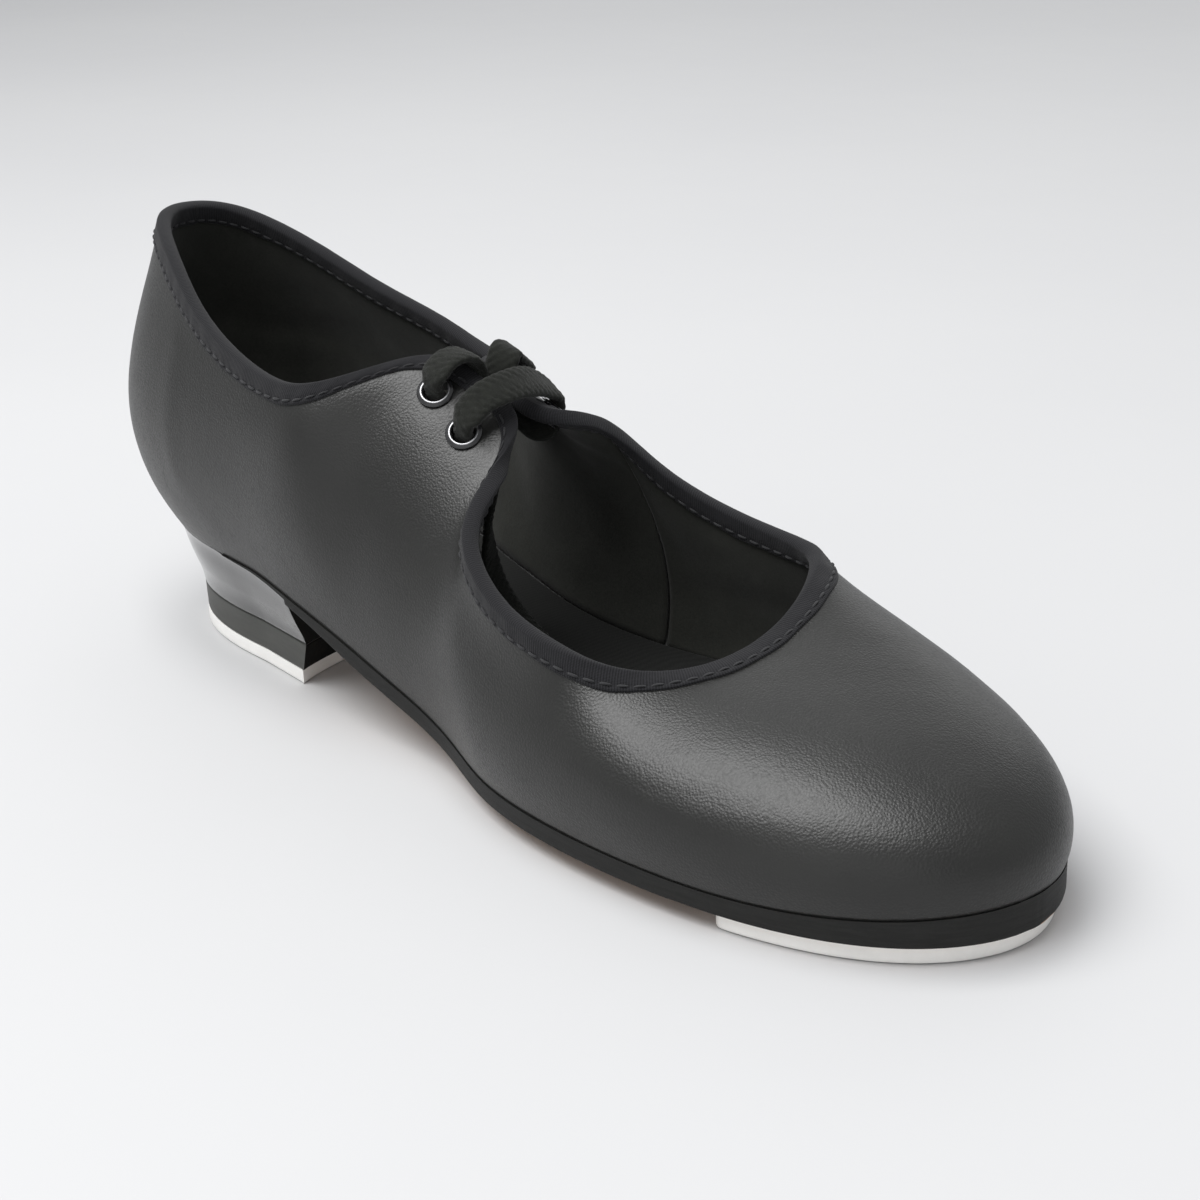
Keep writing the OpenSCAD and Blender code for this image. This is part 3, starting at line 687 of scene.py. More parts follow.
def leather_relief(t, v, p):
    """Height of the upper's own relief in mm: stiffener edges, dimples round
    the eyelets, and the slight unevenness of lasted leather."""
    h = from_heel(t)
    counter = 0.28 * bell(h, 2.75, 0.22) * ease((v - 0.15) / 0.15) * (1 - ease((v - 0.8) / 0.12))
    puff = 0.10 * ease((TOE_RIB - 3.6 - h) / -0.8) * (1 - ease((v - 0.38) / 0.1))
    wave = (0.03 * np.sin(p[..., 0] * 0.17 + 1.3 * np.sin(p[..., 1] * 0.13))
            + 0.025 * np.sin(p[..., 2] * 0.33 + p[..., 0] * 0.07 + 2.0)
            + 0.015 * np.sin(p[..., 0] * 0.41 - p[..., 1] * 0.37))
    calm = ease(v / 0.12) * (1 - ease((v - 0.86) / 0.08))
    dimple = 0.0
    for q, _ in ALL_EYELETS:
        dimple = dimple - 0.28 * bell(np.linalg.norm(p - q, axis=-1), 0, 4.6)
    return counter + puff + wave * calm + dimple


MARGIN = 12.0


def build_upper():
    n = 420
    t = np.arange(n) * LOOP / n
    outer_v = np.concatenate([np.linspace(0, 0.12, 8)[:-1], np.linspace(0.12, 0.9, 56)[:-1],
                              np.linspace(0.9, 1, 8)])
    inner_v = np.linspace(1, 0, 12)
    tt, vv = np.meshgrid(t, outer_v, indexing="ij")
    p, nrm, _ = surface(tt, vv)
    outer = p + leather_relief(tt, vv, p)[..., None] * nrm
    tt, vv = np.meshgrid(t, inner_v, indexing="ij")
    inner = skin(tt, vv, np.full(tt.shape, UPPER_T))
    tip = foot_inset(t, MARGIN)
    z = feather_z(tip[:, 0])
    under = np.stack([np.c_[tip, z + UPPER_T], np.c_[tip, z]], 1)
    section = np.concatenate([outer, inner, under], 1)
    m = section.shape[1]
    obj = add_mesh("upper_leather", section.reshape(-1, 3), grid_faces(n, m, True, True), LEATHER)
    cut_with(obj, eyelet_cutters(EYELET_HOLE + 0.35))
    obj.data.polygons.foreach_set("use_smooth", [True] * len(obj.data.polygons))
    return on_shoe(obj, "upper", "upper")


# ---------------------------------------------------------------- the linings
COUNTER_ENDS, PUFF_ENDS, COUNTER_TOP, PUFF_TOP = 4.8, 3.8, 0.58, 0.42


def lining_depth(t, v):
    """Depth of the lining's outer face; it passes over the stiffeners."""
    h = from_heel(t)
    counter = 0.9 * (1 - ease((h - COUNTER_ENDS + 0.8) / 0.8)) * (1 - ease((v - COUNTER_TOP + 0.1) / 0.1))
    puff = 0.8 * (1 - ease((TOE_RIB - h - PUFF_ENDS + 0.8) / 0.8)) * (1 - ease((v - PUFF_TOP + 0.1) / 0.1))
    stay = 0.5 * (1 - ease((np.abs(h - 8) - 1.7) / 0.5)) * ease((v - 0.68) / 0.08)
    stay = stay * (1 - ease((v - 0.9) / 0.06))
    return UPPER_T + CLEAR / 2 + counter + puff + stay


def build_lining(name, t0, t1, n):
    """One lining between two loop positions, closed at its ends and edges."""
    t = np.linspace(t0, t1, n)
    v = np.linspace(0.04, 0.995, 44)
    tt, vv = np.meshgrid(t, v, indexing="ij")
    p, nrm, _ = surface(tt, vv)
    ripple = (0.10 * np.sin(p[..., 0] * 0.35 + p[..., 2] * 0.2)
              + 0.06 * np.sin(p[..., 2] * 0.6 - p[..., 1] * 0.3))
    outer = p - lining_depth(tt, vv)[..., None] * nrm
    inner = p - (lining_depth(tt, vv) + LINING_T + ripple * ease((0.9 - vv) / 0.2))[..., None] * nrm
    section = np.concatenate([outer, inner[:, ::-1]], 1)
    m = section.shape[1]
    faces = grid_faces(n, m, False, True)
    for i in (0, n - 1):
        k = i * m
        faces += [[k + j, k + j + 1, k + m - 2 - j, k + m - 1 - j] for j in range(m // 2 - 1)]
    return add_mesh(name, section.reshape(-1, 3), faces, LINING)


def build_linings():
    quarter = build_lining("quarter_lining_cloth", -10, 10, 190)
    cut_with(quarter, eyelet_cutters(EYELET_HOLE + 0.35))
    quarter.data.polygons.foreach_set("use_smooth", [True] * len(quarter.data.polygons))
    on_shoe(quarter, "lining", "quarter_lining")
    vamp = build_lining("vamp_lining_cloth", 10.06, LOOP - 10.06, 150)
    on_shoe(vamp, "lining", "vamp_lining")


# ---------------------------------------------------------------- the binding
BINDING_W, BINDING_T = 4.0, 0.6
STITCH_A, STITCH_PITCH = 3.05, 3.0   # distance from the edge, spacing, mm
STACK = UPPER_T + LINING_T + CLEAR


def topline_points(t, a, d):
    """Points near the topline: a is the distance down from the edge (negative
    above it) and d the distance outward from the upper's surface."""
    t, a, d = np.broadcast_arrays(t, a, d)
    q = ribs_at(t.ravel())
    length = np.linalg.norm(along_ribs(q, np.ones(len(q))), axis=1).reshape(t.shape)
    v = 1 - np.maximum(a, 0) / length
    p, n, up = surface(t, v)
    return p + d[..., None] * n + np.maximum(-a, 0)[..., None] * unit(up)


def topline_length(n=4000):
    t = np.arange(n + 1) * LOOP / n
    p = ribs_at(t)[:, 3]
    s = np.concatenate([[0], np.cumsum(np.linalg.norm(np.diff(p, axis=0), axis=1))])
    return t, s


def build_binding():
    t_table, s_table = topline_length()
    total = s_table[-1]
    n = int(total / 0.6)
    s = np.arange(n) * total / n
    t = np.interp(s, s_table, t_table)
    half = (STACK + 2 * BINDING_T) / 2
    middle = BINDING_T - half
    face = [(BINDING_W + 0.05, 0.03), (BINDING_W, 0.32), (BINDING_W - 0.2, 0.5), (3.4, 0.56), (STITCH_A, 0.5),
            (2.7, 0.58), (2.2, 0.62), (1.6, 0.63), (1.0, 0.62), (0.5, 0.6)]
    arc = [(-0.95 * math.sin(p), middle + half * math.cos(p)) for p in np.linspace(0, math.pi, 11)]
    back = [(a, 2 * middle - d) for a, d in reversed(face)]
    hidden = [(BINDING_W - 0.3, -STACK), (0.2, -STACK + 0.05), (0.0, -STACK / 2), (0.2, -0.02),
              (BINDING_W - 0.3, 0.02)]
    section = np.array(face + arc + back + hidden)
    tt, aa = np.meshgrid(t, section[:, 0], indexing="ij")
    dd = np.broadcast_to(section[:, 1], aa.shape).copy()
    ss = np.broadcast_to(s[:, None], aa.shape)
    # the stitches pull the tape in, and the tape puckers a little between them
    pull = bell(aa, STITCH_A, 0.5) * (0.5 + 0.5 * np.cos(2 * math.pi * ss / STITCH_PITCH))
    outside = np.sign(dd - middle)
    dd = dd - outside * (0.16 * pull + 0.07 * np.sin(ss * 0.9 + 2 * np.sin(ss * 0.13)) * bell(aa, 1.6, 1.6))
    wander = 0.16 * np.sin(ss * 0.21) + 0.10 * np.sin(ss * 0.57 + 1.0)
    aa = aa + wander * ease((aa - 2.5) / 1.5)
    pts = topline_points(tt, aa, dd)
    m = len(section)
    across = np.concatenate([[0], np.cumsum(np.linalg.norm(np.diff(section, axis=0), axis=1))])
    flat = np.stack([ss, np.broadcast_to(across, ss.shape)], -1).reshape(-1, 2)
    obj = add_mesh("binding_tape_piece", pts.reshape(-1, 3), grid_faces(n, m, True, True), BINDING, flat=flat)
    on_shoe(obj, "binding", "topline_binding")
    build_stitches(total, s_table, t_table, middle)


def build_stitches(total, s_table, t_table, middle):
    """Lockstitches along the binding, on the outside and on the lining side."""
    count = int(total / STITCH_PITCH)
    pitch = total / count
    rings, sides, radius, half_l = 7, 8, 0.27, 1.12
    along = np.linspace(-1, 1, rings)
    a = np.arange(sides) * 2 * math.pi / sides
    parts = []
    for level in (1, -1):
        for k in range(count):
            s = (k + 0.5) * pitch + along * half_l
            t = np.interp(np.mod(s, total), s_table, t_table)
            wobble = 0.05 * math.sin(k * 1.7)
            lift = 0.22 * (1 - along**2) - 0.06
            r = radius * np.sqrt(np.clip(1 - (along * 0.96)**4, 0.02, 1))
            d0 = 0.5 + lift
            d = d0 if level > 0 else 2 * middle - d0
            centre_line = topline_points(t, np.full(rings, STITCH_A + wobble), d)
            _, n, up = surface(t, np.full(rings, 1 - 1e-3))
            side_dir = unit(up)
            ring = (centre_line[:, None] + (r[:, None] * np.cos(a))[..., None] * side_dir[:, None]
                    + (0.75 * r[:, None] * np.sin(a))[..., None] * n[:, None])
            pts = np.concatenate([ring.reshape(-1, 3), centre_line[:1], centre_line[-1:]])
            faces = grid_faces(rings, sides, False, True)
            faces += [[rings*sides, (j + 1) % sides, j] for j in range(sides)]
            last = (rings - 1) * sides
            faces += [[rings*sides + 1, last + j, last + (j + 1) % sides] for j in range(sides)]
            parts.append((pts, faces))
    pts, faces = merge(parts)
    on_shoe(add_mesh("binding_stitches", pts, faces, THREAD), "binding")


# ----------------------------------------------------------------- the eyelets
def build_eyelets():
    inside = -(STACK + 0.5 + CLEAR)
    flange = [(3.0, 0.58), (3.25, 0.46), (3.5, 0.34), (EYELET_R, 0.2), (EYELET_R, 0.08), (3.4, 0.02),
              (2.85, 0.0), (2.8, inside), (3.1, inside - 0.35), (3.25, inside - 0.6), (3.0, inside - 0.78),
              (2.7, inside - 0.7), (2.52, inside - 0.4)]
    bore = [(2.52, inside - 0.4), (2.5, inside + 0.4), (2.5, -0.2), (2.51, 0.25), (2.57, 0.48), (2.66, 0.6),
            (2.78, 0.65), (2.9, 0.63), (3.0, 0.58)]
    for side, name in ((1, "lateral"), (-1, "medial")):
        black, bright = [], []
        for p, axes in eyelet_frames(side):
            for profile, bag in ((flange, black), (bore, bright)):
                pts, faces = lathe(profile, 56)
                bag.append((pts @ axes.T + p, faces))
        obj = add_mesh(name + "_eyelet_flanges", *merge(black), LACQUER)
        on_shoe(obj, "eyelet", name + "_eyelets")
        on_shoe(add_mesh(name + "_eyelet_rims", *merge(bright), BRIGHT), "eyelet")


build_upper()
build_linings()
build_binding()
build_eyelets()

# -------------------------------------------------------------------- the lace
LACE_W, LACE_T = 6.9, 1.7
# x, y, z and the direction that the flat side faces
LATERAL_ROUTE = [
    [200, -14, 13.2, 0, 0, 1], [184, -17, 13, 0, 0, 1], [166, -18, 12.9, 0, 0, 1],
    [148, -17, 13, 0, 0, 1], [132, -13, 13.6, 0.1, 0, 1], [118, -9, 15.9, 0.2, 0, 1],
    [107, -6, 20.6, 0.6, 0.1, 0.8], [100, -3.8, 29, 1, 0.3, 0.2], [99, -2.9, 41, 0.6, 0.8, 0],
    [101, -2.4, 54, 0.1, 1, 0], [102.4, -2.3, 66, 0, 1, 0], [102.2, -2.7, 75, 0, 1, 0.3],
    [102.2, -5.2, 78.4, 0.1, 0.1, 1], [101.9, -9.4, 78.3, 0.1, -0.5, 0.85],
    [101.6, -12.7, 75.4, 0.1, -1, 0.3], [100.8, -12.1, 72.3, 0.2, -1, -0.2],
    [100, -9.9, 68.6, 0.4, -0.8, -0.6], [103.6, -9.8, 65.2, 0.4, -0.3, -1],
    [107.6, -10.1, 62.4, 0.5, -0.5, -0.9], [110, -12.8, 65.7, 0.2, -0.95, 0],
    [111.2, -13, 68.9, 0.2, -0.9, 0.3], [112.3, -9.8, 72.2, 0.45, -0.6, 0.65],
    [113.2, -5.4, 73.7, 0.6, -0.4, 0.7]]
BAR_MIDDLE = [[113, -0.6, 73.8, 0.66, -0.35, 0.66]]
MEDIAL_ROUTE = [
    [112, 3.8, 72.7, 0.7, -0.2, 0.7], [110.8, 7.6, 71, 0.6, 0.25, 0.75],
    [110.2, 11, 68.6, 0.3, 0.85, 0.4], [110, 11.5, 65, 0.1, 0.95, -0.2],
    [108.9, 8.6, 61.4, -0.3, 0.5, -0.9], [104.2, 7.8, 63.2, -0.3, 0.2, -1],
    [99.8, 7.2, 66.4, -0.4, 0.7, -0.7], [100.8, 9.5, 69.6, -0.1, 0.95, -0.2],
    [101.3, 11, 73, 0.1, 0.95, 0.2], [102.2, 8.4, 75.2, 0.2, 0.7, 0.7],
    [103.3, 5.4, 77.5, 0.4, -0.1, 0.9], [104.3, 3.2, 76.6, 0.45, -0.8, 0.4],
    [104.5, 1.6, 72.6, 0.4, -0.9, 0.1], [103.4, 0.7, 66, 0.3, -0.95, 0], [101.4, 0.7, 54, 0, -1, 0],
    [99.4, 0.8, 41, -0.6, -0.8, 0], [100.4, 0.8, 29, -1, -0.3, -0.2],
    [107, 1.5, 20.6, -0.6, -0.1, -0.8], [118, 1, 15.9, -0.2, 0, -1], [132, -3, 13.6, -0.1, 0, -1],
    [148, -7, 13, 0, 0, -1], [166, -8.5, 12.9, 0, 0, -1], [184, -8, 13, 0, 0, -1],
    [200, -6, 13.2, 0, 0, -1]]
ROUTE = np.array(LATERAL_ROUTE + BAR_MIDDLE + MEDIAL_ROUTE, float)
ROUTE_END = len(ROUTE) - 1
PINCHES = (15, 19, 27, 31)  # route positions inside the eyelets


def route_at(t):
    t = np.clip(np.asarray(t, float), 0, ROUTE_END)
    i = np.minimum(np.floor(t).astype(int), ROUTE_END - 1)
    f = (t - i)[:, None]
    a, b, c, d = (ROUTE[np.clip(i + k, 0, ROUTE_END)] for k in (-1, 0, 1, 2))
    return b + 0.5*f * ((c - a) + f * ((2*a - 5*b + 4*c - d) + f * (3*(b - c) + d - a)))


def braid_height(s, c):
    """Height of a diagonal braid: strands cross at a slant, each passing over
    and under the other set in turn."""
    pitch, lean = 1.75, 0.75
    one, two = (s + lean * c) / pitch, (s - lean * c) / pitch
    over = (np.floor(one) + np.floor(two)) % 2 < 1
    f, g = one % 1, two % 1
    across, along = np.where(over, f, g), np.where(over, g, f)
    dome = np.sqrt(np.clip(1 - (2 * across - 1) ** 2, 0, 1)) * (0.6 + 0.4 * np.sin(math.pi * along))
    return 0.34 * (dome - 0.5)


def build_lace():
    fine = np.linspace(0, ROUTE_END, 4001)
    p = route_at(fine)[:, :3]
    s_table = np.concatenate([[0], np.cumsum(np.linalg.norm(np.diff(p, axis=0), axis=1))])
    total = s_table[-1]
    n = int(total / 0.3)
    s = np.linspace(0, total, n)
    t = np.interp(s, s_table, fine)
    r = route_at(t)
    centre = r[:, :3]
    along = unit(route_at(t + 0.05)[:, :3] - route_at(t - 0.05)[:, :3])
    across = unit(np.cross(r[:, 3:], along))
    face = np.cross(along, across)
    holes = np.interp(PINCHES, fine, s_table)
    near = np.min([np.abs(s - h) for h in holes], axis=0)
    wide = 0.62 + 0.38 * ease((near - 1.2) / 3.6)
    m = 56
    a = np.arange(m) * 2 * math.pi / m
    ca, sa = np.cos(a), np.sin(a)
    half_w = LACE_W / 2 * wide
    half_t = LACE_T / 2 / np.sqrt(wide)
    # a soft flat tube: full in the middle, rounded at the edges
    x = np.sign(ca) * np.abs(ca) ** 0.62
    y = np.sign(sa) * np.abs(sa) ** 0.7
    cross = half_w[:, None] * x
    braid = braid_height(s[:, None], cross + np.sign(sa) * 0.4)
    sway = 0.12 * np.sin(s * 0.33)[:, None] * np.cos(a)
    pts = (centre[:, None]
           + (cross + 0.5 * braid * ca + sway * x)[..., None] * across[:, None]
           + (half_t[:, None] * y + braid * np.sign(sa) * np.abs(sa) ** 0.5)[..., None] * face[:, None])
    verts = np.concatenate([pts.reshape(-1, 3), centre[:1], centre[-1:]])
    faces = grid_faces(n, m, False, True)
    faces += [[n*m, (j + 1) % m, j] for j in range(m)]
    last = (n - 1) * m
    faces += [[n*m + 1, last + j, last + (j + 1) % m] for j in range(m)]
    around = np.broadcast_to(a * (LACE_W + LACE_T) / math.pi, (n, m))
    flat = np.stack([np.broadcast_to(s[:, None], (n, m)), around], -1).reshape(-1, 2)
    flat = np.concatenate([flat, flat[:1], flat[-1:]])
    on_shoe(add_mesh("lace_braid", verts, faces, LACE, flat=flat), "lace", "lace")
    build_aglets(centre, along)


def build_aglets(centre, along):
    profile = [(0, 0), (0.95, 0), (1.12, 0.25), (1.2, 0.6), (1.2, 3), (1.14, 3.4), (1.2, 3.8), (1.2, 12.4),
               (1.12, 13.2), (0.85, 13.75), (0.4, 14), (0, 14)]
    parts = []
    for p, direction in ((centre[0], -along[0]), (centre[-1], along[-1])):
        pts, faces = lathe(profile, 28)
        parts.append((pts @ axes_to(direction).T + p + 0.1 * direction, faces))
    on_shoe(add_mesh("lace_tips", *merge(parts), AGLET), "aglet", "lace_aglets")


# ------------------------------------------------------------------- the sole
BOARD_INSET, SOCK_Z, SOCK_T = 2.8, 3.3, 1.5
TONGUE_X, SOLE_BACK = 38.0, 65.0
CONTACT_RISE = 0.15


def half_width(inset, side, n=600):
    """Plan outline of one side as x and y tables."""
    t = np.linspace(0, TOE_RIB, n) if side > 0 else np.linspace(LOOP, TOE_RIB, n)
    p = foot_inset(t, inset)
    keep = np.concatenate([[True], np.diff(p[:, 0]) > 0])
    return p[keep, 0], p[keep, 1]


def build_sock():
    """The sock lining: softly rounded at its edge, dished under the heel and ball."""
    n, rings = 360, 22
    t = np.arange(n) * LOOP / n
    rows = []
    profile = [(0.0, 0.0), (0.0, 0.8), (0.15, 1.2), (0.5, 1.45), (1.0, 1.5)]
    for inset, height in profile:
        p = foot_inset(t, BOARD_INSET + inset)
        rows.append(np.c_[p, feather_z(p[:, 0]) + SOCK_Z + height])
    edge = foot_inset(t, BOARD_INSET + 1.0)
    spine_x = np.clip(edge[:, 0], 20, 222)
    middle = np.c_[spine_x, np.zeros(n)]
    for k in range(1, rings):
        f = k / (rings - 1)
        p = edge * (1 - f) + middle * f
        soft = 0.25 * np.sin(p[:, 0] * 0.11) * np.sin(p[:, 1] * 0.13) * ease(f * 4)
        dish = 0.5 * (bell(p[:, 0], 28, 26) + bell(p[:, 0], 178, 34)) * ease(f * 1.6)
        rows.append(np.c_[p, feather_z(p[:, 0]) + SOCK_Z + SOCK_T - 0.25 - dish * 0.8 + 0.3 * soft
                          + 0.25 * (1 - ease(f * 5))])
    section = np.stack(rows, 1)
    m = section.shape[1]
    verts = section.reshape(-1, 3)
    obj = add_mesh("sock_lining_cloth", verts, grid_faces(n, m, True, False), SOCK_PAINTED_SHADE)
    on_shoe(obj, "sock", "sock_lining")


def tongue_at(x):
    return 0.2 + 0.9 * (x - TONGUE_X) / (SOLE_BACK - TONGUE_X)


def tread_under(x):
    """Height of the tread; the sole thins as it comes up to the heel breast."""
    waist = feather_z(x) - SOLE_T + 1.7 * (1 - ease((x - SOLE_BACK) / 28))
    return np.where(x < TREAD_END, waist, TAP_T + 0.1 + CONTACT_RISE * rise(x))


def build_outsole():
    """Sole from the tongue under the heel to the toe; edge inked black, tread tan."""
    toe_xs = 226 + 18.9 * np.sin(np.linspace(0.04, 1, 26) * math.pi / 2)
    xs = np.concatenate([np.linspace(TONGUE_X, SOLE_BACK, 16), [SOLE_BACK + 0.1],
                         np.linspace(SOLE_BACK + 0.8, 226, 150), toe_xs])
    sides = [half_width(-0.3, 1), half_width(-0.3, -1)]
    tip = sides[0][0][-1]
    xs = np.minimum(xs, tip - 0.02)
    sections = []
    for x in xs:
        y0 = np.interp(x, *sides[0])
        y1 = np.interp(x, *sides[1])
        top = feather_z(x) - CLEAR / 2
        bottom = feather_z(x) - tongue_at(x) if x <= SOLE_BACK + 0.01 else float(tread_under(x))
        thick = top - bottom
        r = min(0.55, thick * 0.3)
        steps = [(0.0, top), (0.02 * r, top - 0.35 * r), (0, top - r), (0.05, (top + bottom) / 2),
                 (0, bottom + r), (0.3 * r, bottom + 0.3 * r), (r, bottom)]
        left = [(y0 + e, z) for e, z in steps]
        right = [(y1 - e, z) for e, z in steps]
        inner_b = [(y0 + (y1 - y0) * f, bottom) for f in (0.08, 0.3, 0.5, 0.7, 0.92)]
        inner_t = [(y1 + (y0 - y1) * f, top) for f in (0.08, 0.3, 0.5, 0.7, 0.92)]
        loop = left + inner_b + right[::-1] + inner_t
        sections.append([(x, y, z) for y, z in loop])
    sections = np.array(sections)
    n, m = sections.shape[:2]
    faces = grid_faces(n, m, False, True)
    first_tread, last_tread = 6, 12
    material = [1 if first_tread <= j <= last_tread else 0 for j in range(m)] * (n - 1)
    faces += [list(range(m)), list(range((n - 1) * m, n * m))]
    material += [0, 0]
    obj = add_mesh("outsole_leather", sections.reshape(-1, 3), faces, [EDGE, TREAD], face_material=material)
    split_edges(obj, 38)
    on_shoe(obj, "outsole", "outsole")


def split_edges(obj, degrees):
    """Keeps hard edges crisp by marking them sharp."""
    mesh = obj.data
    bm = bmesh.new()
    bm.from_mesh(mesh)
    limit = math.radians(degrees)
    for e in bm.edges:
        e.smooth = len(e.link_faces) != 2 or e.calc_face_angle(0) < limit
    bm.to_mesh(mesh)
    bm.free()


# ------------------------------------------------------------------- the heel
def heel_plan(back_x, half_w, breast_x, corner_w, hollow, finer=1):
    """Outline of a heel piece from the back round one side to the breast."""
    side_x, power = 45.0, 2.4
    angles = np.radians((np.arange(10 * finer) + 0.5) * 9 / finer)
    curve = np.c_[side_x - (side_x - back_x) * np.cos(angles) ** (2 / power),
                  -half_w * np.sin(angles) ** (2 / power)]
    k = np.linspace(0, 1, 5 * finer + 1)[1:-1]
    start = np.array([side_x, -half_w])
    flank = start + (np.array([breast_x, -corner_w]) - start) * k[:, None]
    k = np.concatenate([np.linspace(1, 0.25, 4 * finer), [0.12]])
    breast = np.c_[breast_x - hollow * (1 - k * k), -corner_w * k]
    half = np.concatenate([curve, flank, breast])
    return np.concatenate([half, half[::-1] * [1, -1]])


HEEL_LEVELS = np.array([  # height fraction, back x, half width, breast x, corner y, hollow
    [1, 2.8, 27, 64.8, 27.8, 0.6], [0.72, 3.4, 25.2, 65, 26.6, 1.6], [0.45, 4.3, 23.2, 64.9, 25.2, 2.8],
    [0.2, 5, 21.8, 64.7, 23.8, 3.4], [0, 5.3, 21.2, 64.5, 22.9, 3.6]])


def seat_under(x):
    return feather_z(x) - CLEAR / 2 - np.where(x > TONGUE_X - 2, tongue_at(x), 0)


def stack_levels(rows, materials, name, crease=40):
    """A solid from matching outlines stacked upward."""
    rows = np.stack(rows)
    n, m = rows.shape[:2]
    faces = grid_faces(n, m, False, True)
    faces.append(list(range(m)))
    faces.append(list(range((n - 1) * m, n * m)))
    obj = add_mesh(name, rows.reshape(-1, 3), faces, materials)
    split_edges(obj, crease)
    return obj


def inset_plan(plan, inset):
    d = np.roll(plan, -1, 0) - np.roll(plan, 1, 0)
    out = unit(np.c_[d[:, 1], -d[:, 0]])
    return plan - inset * out


def shift_to_feather(plan):
    """Plan shifts that bring the top outline of the block onto the feather edge."""
    foot = ribs_at(np.linspace(-8, 8, 3201))[:, 0, :2]
    nearest = np.linalg.norm(plan[:, None] - foot[None], axis=-1).argmin(1)
    shift = foot[nearest] - plan
    at_breast = plan[:, 0] > 62.5
    shift[at_breast] = np.c_[np.zeros(at_breast.sum()), -0.008 * plan[at_breast, 1]]
    return shift


def build_heel_block():
    base_z = TAP_T + LIFT_H + 0.1
    fractions = np.linspace(0, 1, 40)
    order = np.argsort(HEEL_LEVELS[:, 0])
    table = HEEL_LEVELS[order]
    shift = shift_to_feather(heel_plan(*HEEL_LEVELS[0, 1:], finer=3))
    rows = []
    for f in fractions:
        # smooth interpolation between the levels of the table
        values = [smooth_interp(f, table[:, 0], table[:, k]) for k in range(1, 6)]
        plan = heel_plan(*values, finer=3) + shift * ease((f - 0.4) / 0.6)
        top = seat_under(plan[:, 0])
        rows.append(np.c_[plan, base_z + (top - base_z) * f])
    first = inset_plan(rows[0][:, :2], 0.22)
    rows[0] = np.c_[rows[0][:, :2], rows[0][:, 2] + 0.2]
    rows.insert(0, np.c_[first, np.full(len(first), base_z)])
    rim = rows[-1]
    rows.append(np.c_[inset_plan(rim[:, :2], 1.5), rim[:, 2]])
    obj = stack_levels(rows, [HEEL, BREAST_PAINTED_SHADE], "heel_block_shell")
    paint_breast_shade(obj)
    on_shoe(obj, "heel", "heel_block")


def paint_breast_shade(obj):
    """Gives the forward faces of a heel piece their matt second material, whose darker colour is painted
    shade.
    """
    front = to_row([50, 0, 0])[0]
    for face in obj.data.polygons:
        if abs(face.normal.x) > 0.75 and face.center.x > front:
            face.material_index = 1


def smooth_interp(x, xs, ys):
    """Cubic interpolation with slopes taken from neighbouring points."""
    slopes = np.gradient(ys, xs)
    i = int(np.clip(np.searchsorted(xs, x) - 1, 0, len(xs) - 2))
    h = xs[i + 1] - xs[i]
    u = (x - xs[i]) / h
    return ((2*u**3 - 3*u*u + 1) * ys[i] + (u**3 - 2*u*u + u) * h * slopes[i]
            + (3*u*u - 2*u**3) * ys[i + 1] + (u**3 - u*u) * h * slopes[i + 1])


def build_lift():
    top = (5.3, 21.2, 64.4, 22.9, 3.6)
    low = (5.4, 21.0, 62.2, 22.6, 4.0)
    rows = []
    levels = [(3.3, 0.35), (3.55, 0.08), (3.9, 0.0), (5.2, 0.02), (6.7, 0.0), (8.2, 0.02), (9.4, 0.0),
              (9.8, 0.04), (9.95, 0.2), (10.03, 0.42), (10.2, 0.45)]
    for z, inset in levels:
        f = (z - 3.3) / 6.9
        plan = heel_plan(*[b + (a - b) * f for a, b in zip(top, low)], finer=3)
        rows.append(np.c_[inset_plan(plan, inset), np.full(len(plan), z)])
    obj = stack_levels(rows, [LIFT, BREAST_PAINTED_SHADE], "heel_lift_rubber")
    paint_breast_shade(obj)
    on_shoe(obj, "lift", "heel_lift")


# -------------------------------------------------------------------- the taps
HEEL_SCREWS = [(17, 0), (48, -11), (48, 11)]
TOE_SCREWS = [(226, 0), (207, -19), (207, 19)]
SCREW_HEAD_R = 3.0


def tap_solid(plan, name):
    rows = []
    levels = [(0.0, 0.22), (0.08, 0.1), (0.24, 0.02), (0.6, 0.0), (2.8, 0.0), (3.1, 0.06), (3.2, 0.16)]
    for z, inset in levels:
        rows.append(np.c_[inset_plan(plan, inset), np.full(len(plan), z)])
    return stack_levels(rows, TAP, name)


def sink_screws(obj, spots):
    cutters = []
    mouth = SCREW_HEAD_R + 0.35
    for x, y in spots:
        pts, faces = lathe([(0, -1), (mouth, -1), (mouth, 0.0), (SCREW_HEAD_R + 0.1, 0.35),
                            (1.75, 2.05), (1.75, 5), (0, 5)], 40)
        cutters.append(add_mesh("cutter", pts + [x, y, 0], faces, TAP))
    cut_with(obj, cutters)
    split_edges(obj, 30)


def resample(path, count):
    s = np.concatenate([[0], np.cumsum(np.linalg.norm(np.diff(path, axis=0), axis=1))])
    u = np.linspace(0, s[-1], count)
    return np.c_[np.interp(u, s, path[:, 0]), np.interp(u, s, path[:, 1])]


def toe_tap_plan():
    t = np.linspace(10, LOOP - 10, 900)
    edge = foot_inset(t, 1.2)
    edge = edge[edge[:, 0] > 198]
    k = np.linspace(1, -1, 60)[1:-1]
    back = np.c_[198 - 12 * (1 - k * k), edge[-1, 1] * k]
    loop = np.concatenate([edge, back])
    loop = resample(np.concatenate([loop, loop[:1]]), 361)[:-1]
    for _ in range(14):  # eases the two back corners
        loop = (np.roll(loop, 1, 0) + 2 * loop + np.roll(loop, -1, 0)) / 4
    return loop


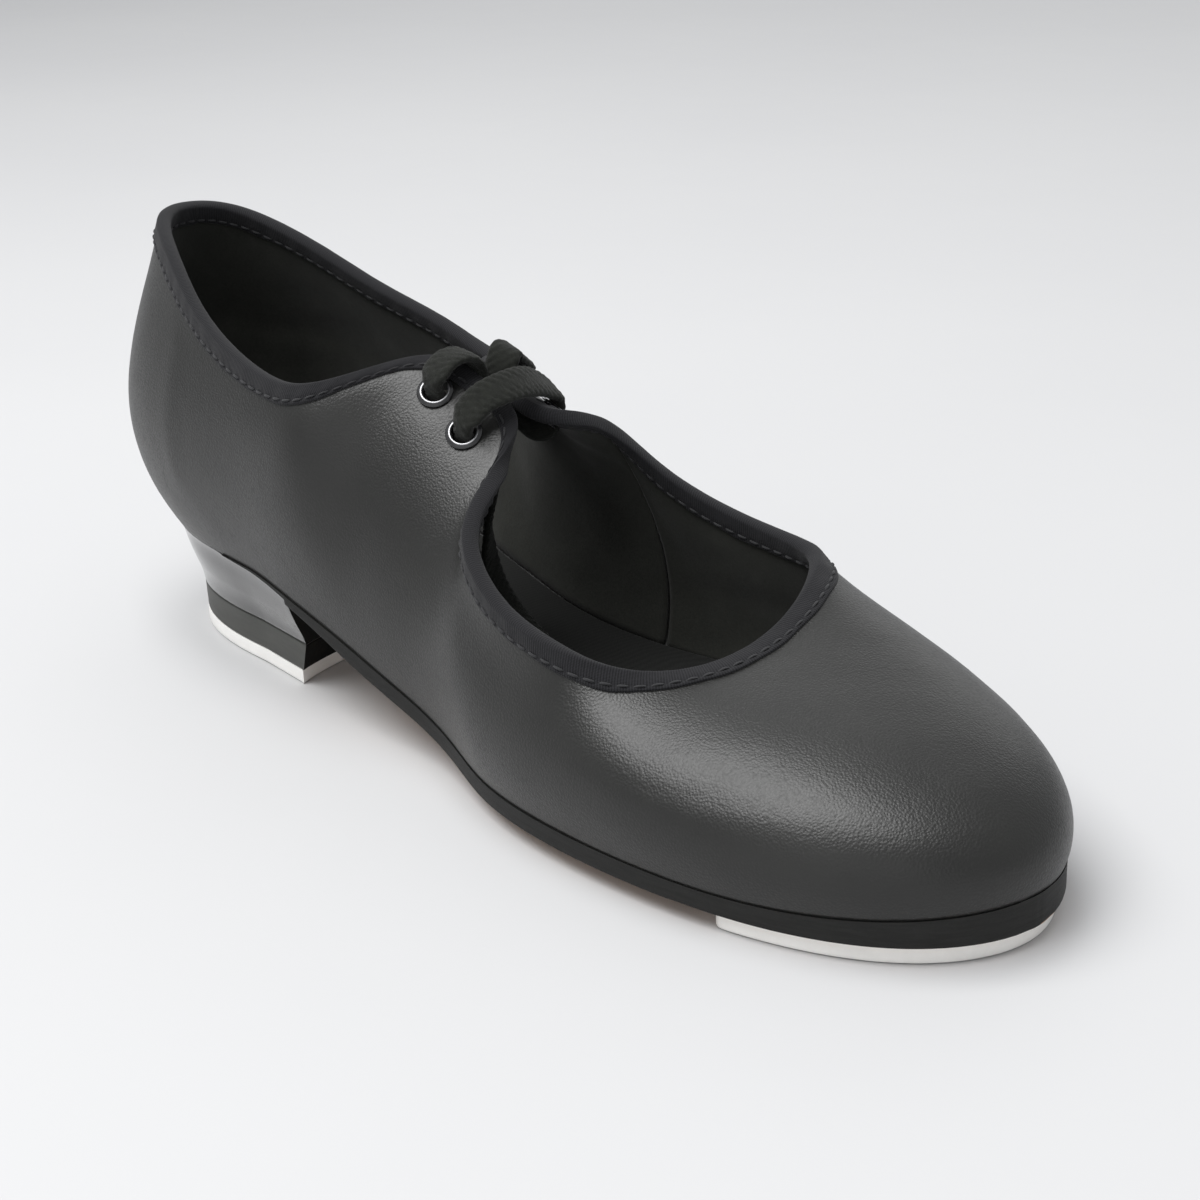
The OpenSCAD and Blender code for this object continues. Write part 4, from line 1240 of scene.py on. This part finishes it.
def build_taps():
    heel = tap_solid(heel_plan(5, 20.9, 61.5, 22.3, 4.5, finer=3), "heel_tap_plate")
    sink_screws(heel, HEEL_SCREWS)
    on_shoe(heel, "tap", "heel_tap")
    toe = tap_solid(toe_tap_plan(), "toe_tap_plate")
    sink_screws(toe, TOE_SCREWS)
    on_shoe(toe, "tap", "toe_tap")
    build_screws("heel_tap_screw_heads", HEEL_SCREWS, 14, "heel_tap_screws")
    build_screws("toe_tap_screw_heads", TOE_SCREWS, 6.4, "toe_tap_screws")


def build_screws(name, spots, length, node):
    parts = []
    for x, y in spots:
        thread_z = np.arange(2.6, length - 1.6, 0.55)
        profile = [(0, 0.45), (2.6, 0.3), (2.95, 0.5), (2.9, 0.65), (1.5, 2.0), (1.4, 2.5)]
        for z in thread_z:
            profile += [(1.25, z), (1.6, z + 0.22), (1.25, z + 0.44)]
        profile += [(1.1, length - 1.2), (0.2, length), (0, length)]
        pts, faces = lathe(profile, 32)
        parts.append((pts + [x, y, 0], faces))
    obj = add_mesh(name, *merge(parts), SCREW)
    cutters = []
    for i, (x, y) in enumerate(spots):
        for turn in (0, 90):
            a = math.radians(turn + 25 + 37 * i)
            corners = ((-1, -1), (1, -1), (1, 1), (-1, 1))
            box = np.array([[sx * 1.55, sy * 0.3, z] for z in (-0.5, 1.35) for sx, sy in corners])
            box[4:, :2] *= 0.7
            c, s = math.cos(a), math.sin(a)
            pts = np.c_[box[:, 0] * c - box[:, 1] * s + x, box[:, 0] * s + box[:, 1] * c + y, box[:, 2]]
            faces = [[0, 3, 2, 1], [4, 5, 6, 7], [0, 1, 5, 4], [1, 2, 6, 5], [2, 3, 7, 6], [3, 0, 4, 7]]
            cutters.append(add_mesh("cutter", pts, faces, SCREW))
    cut_with(obj, cutters)
    split_edges(obj, 35)
    on_shoe(obj, "fastener", node)


build_lace()
build_sock()
build_outsole()
build_heel_block()
build_lift()
build_taps()

# ---------------------------------------------- finishes of the hidden CAD parts
HIDDEN_FINISH = {
    "heel_counter": STIFF, "toe_puff": STIFF, "lateral_eyelet_stay": STAY, "medial_eyelet_stay": STAY,
    "insole_board": BOARD, "forefoot_filler": FELT, "shank": SPRING, "shank_rivets": SCREW,
    "heel_seat_nails": SPRING}


def finish_hidden_parts():
    """CAD pieces inside the shoe keep their shape and get a real finish."""
    for obj in bpy.data.objects:
        node = next((n for n in HIDDEN_FINISH if obj.name == n or obj.name.startswith(n + ".")), None)
        if node is None or obj.type != "MESH":
            continue
        obj.data.materials.clear()
        obj.data.materials.append(HIDDEN_FINISH[node])


finish_hidden_parts()
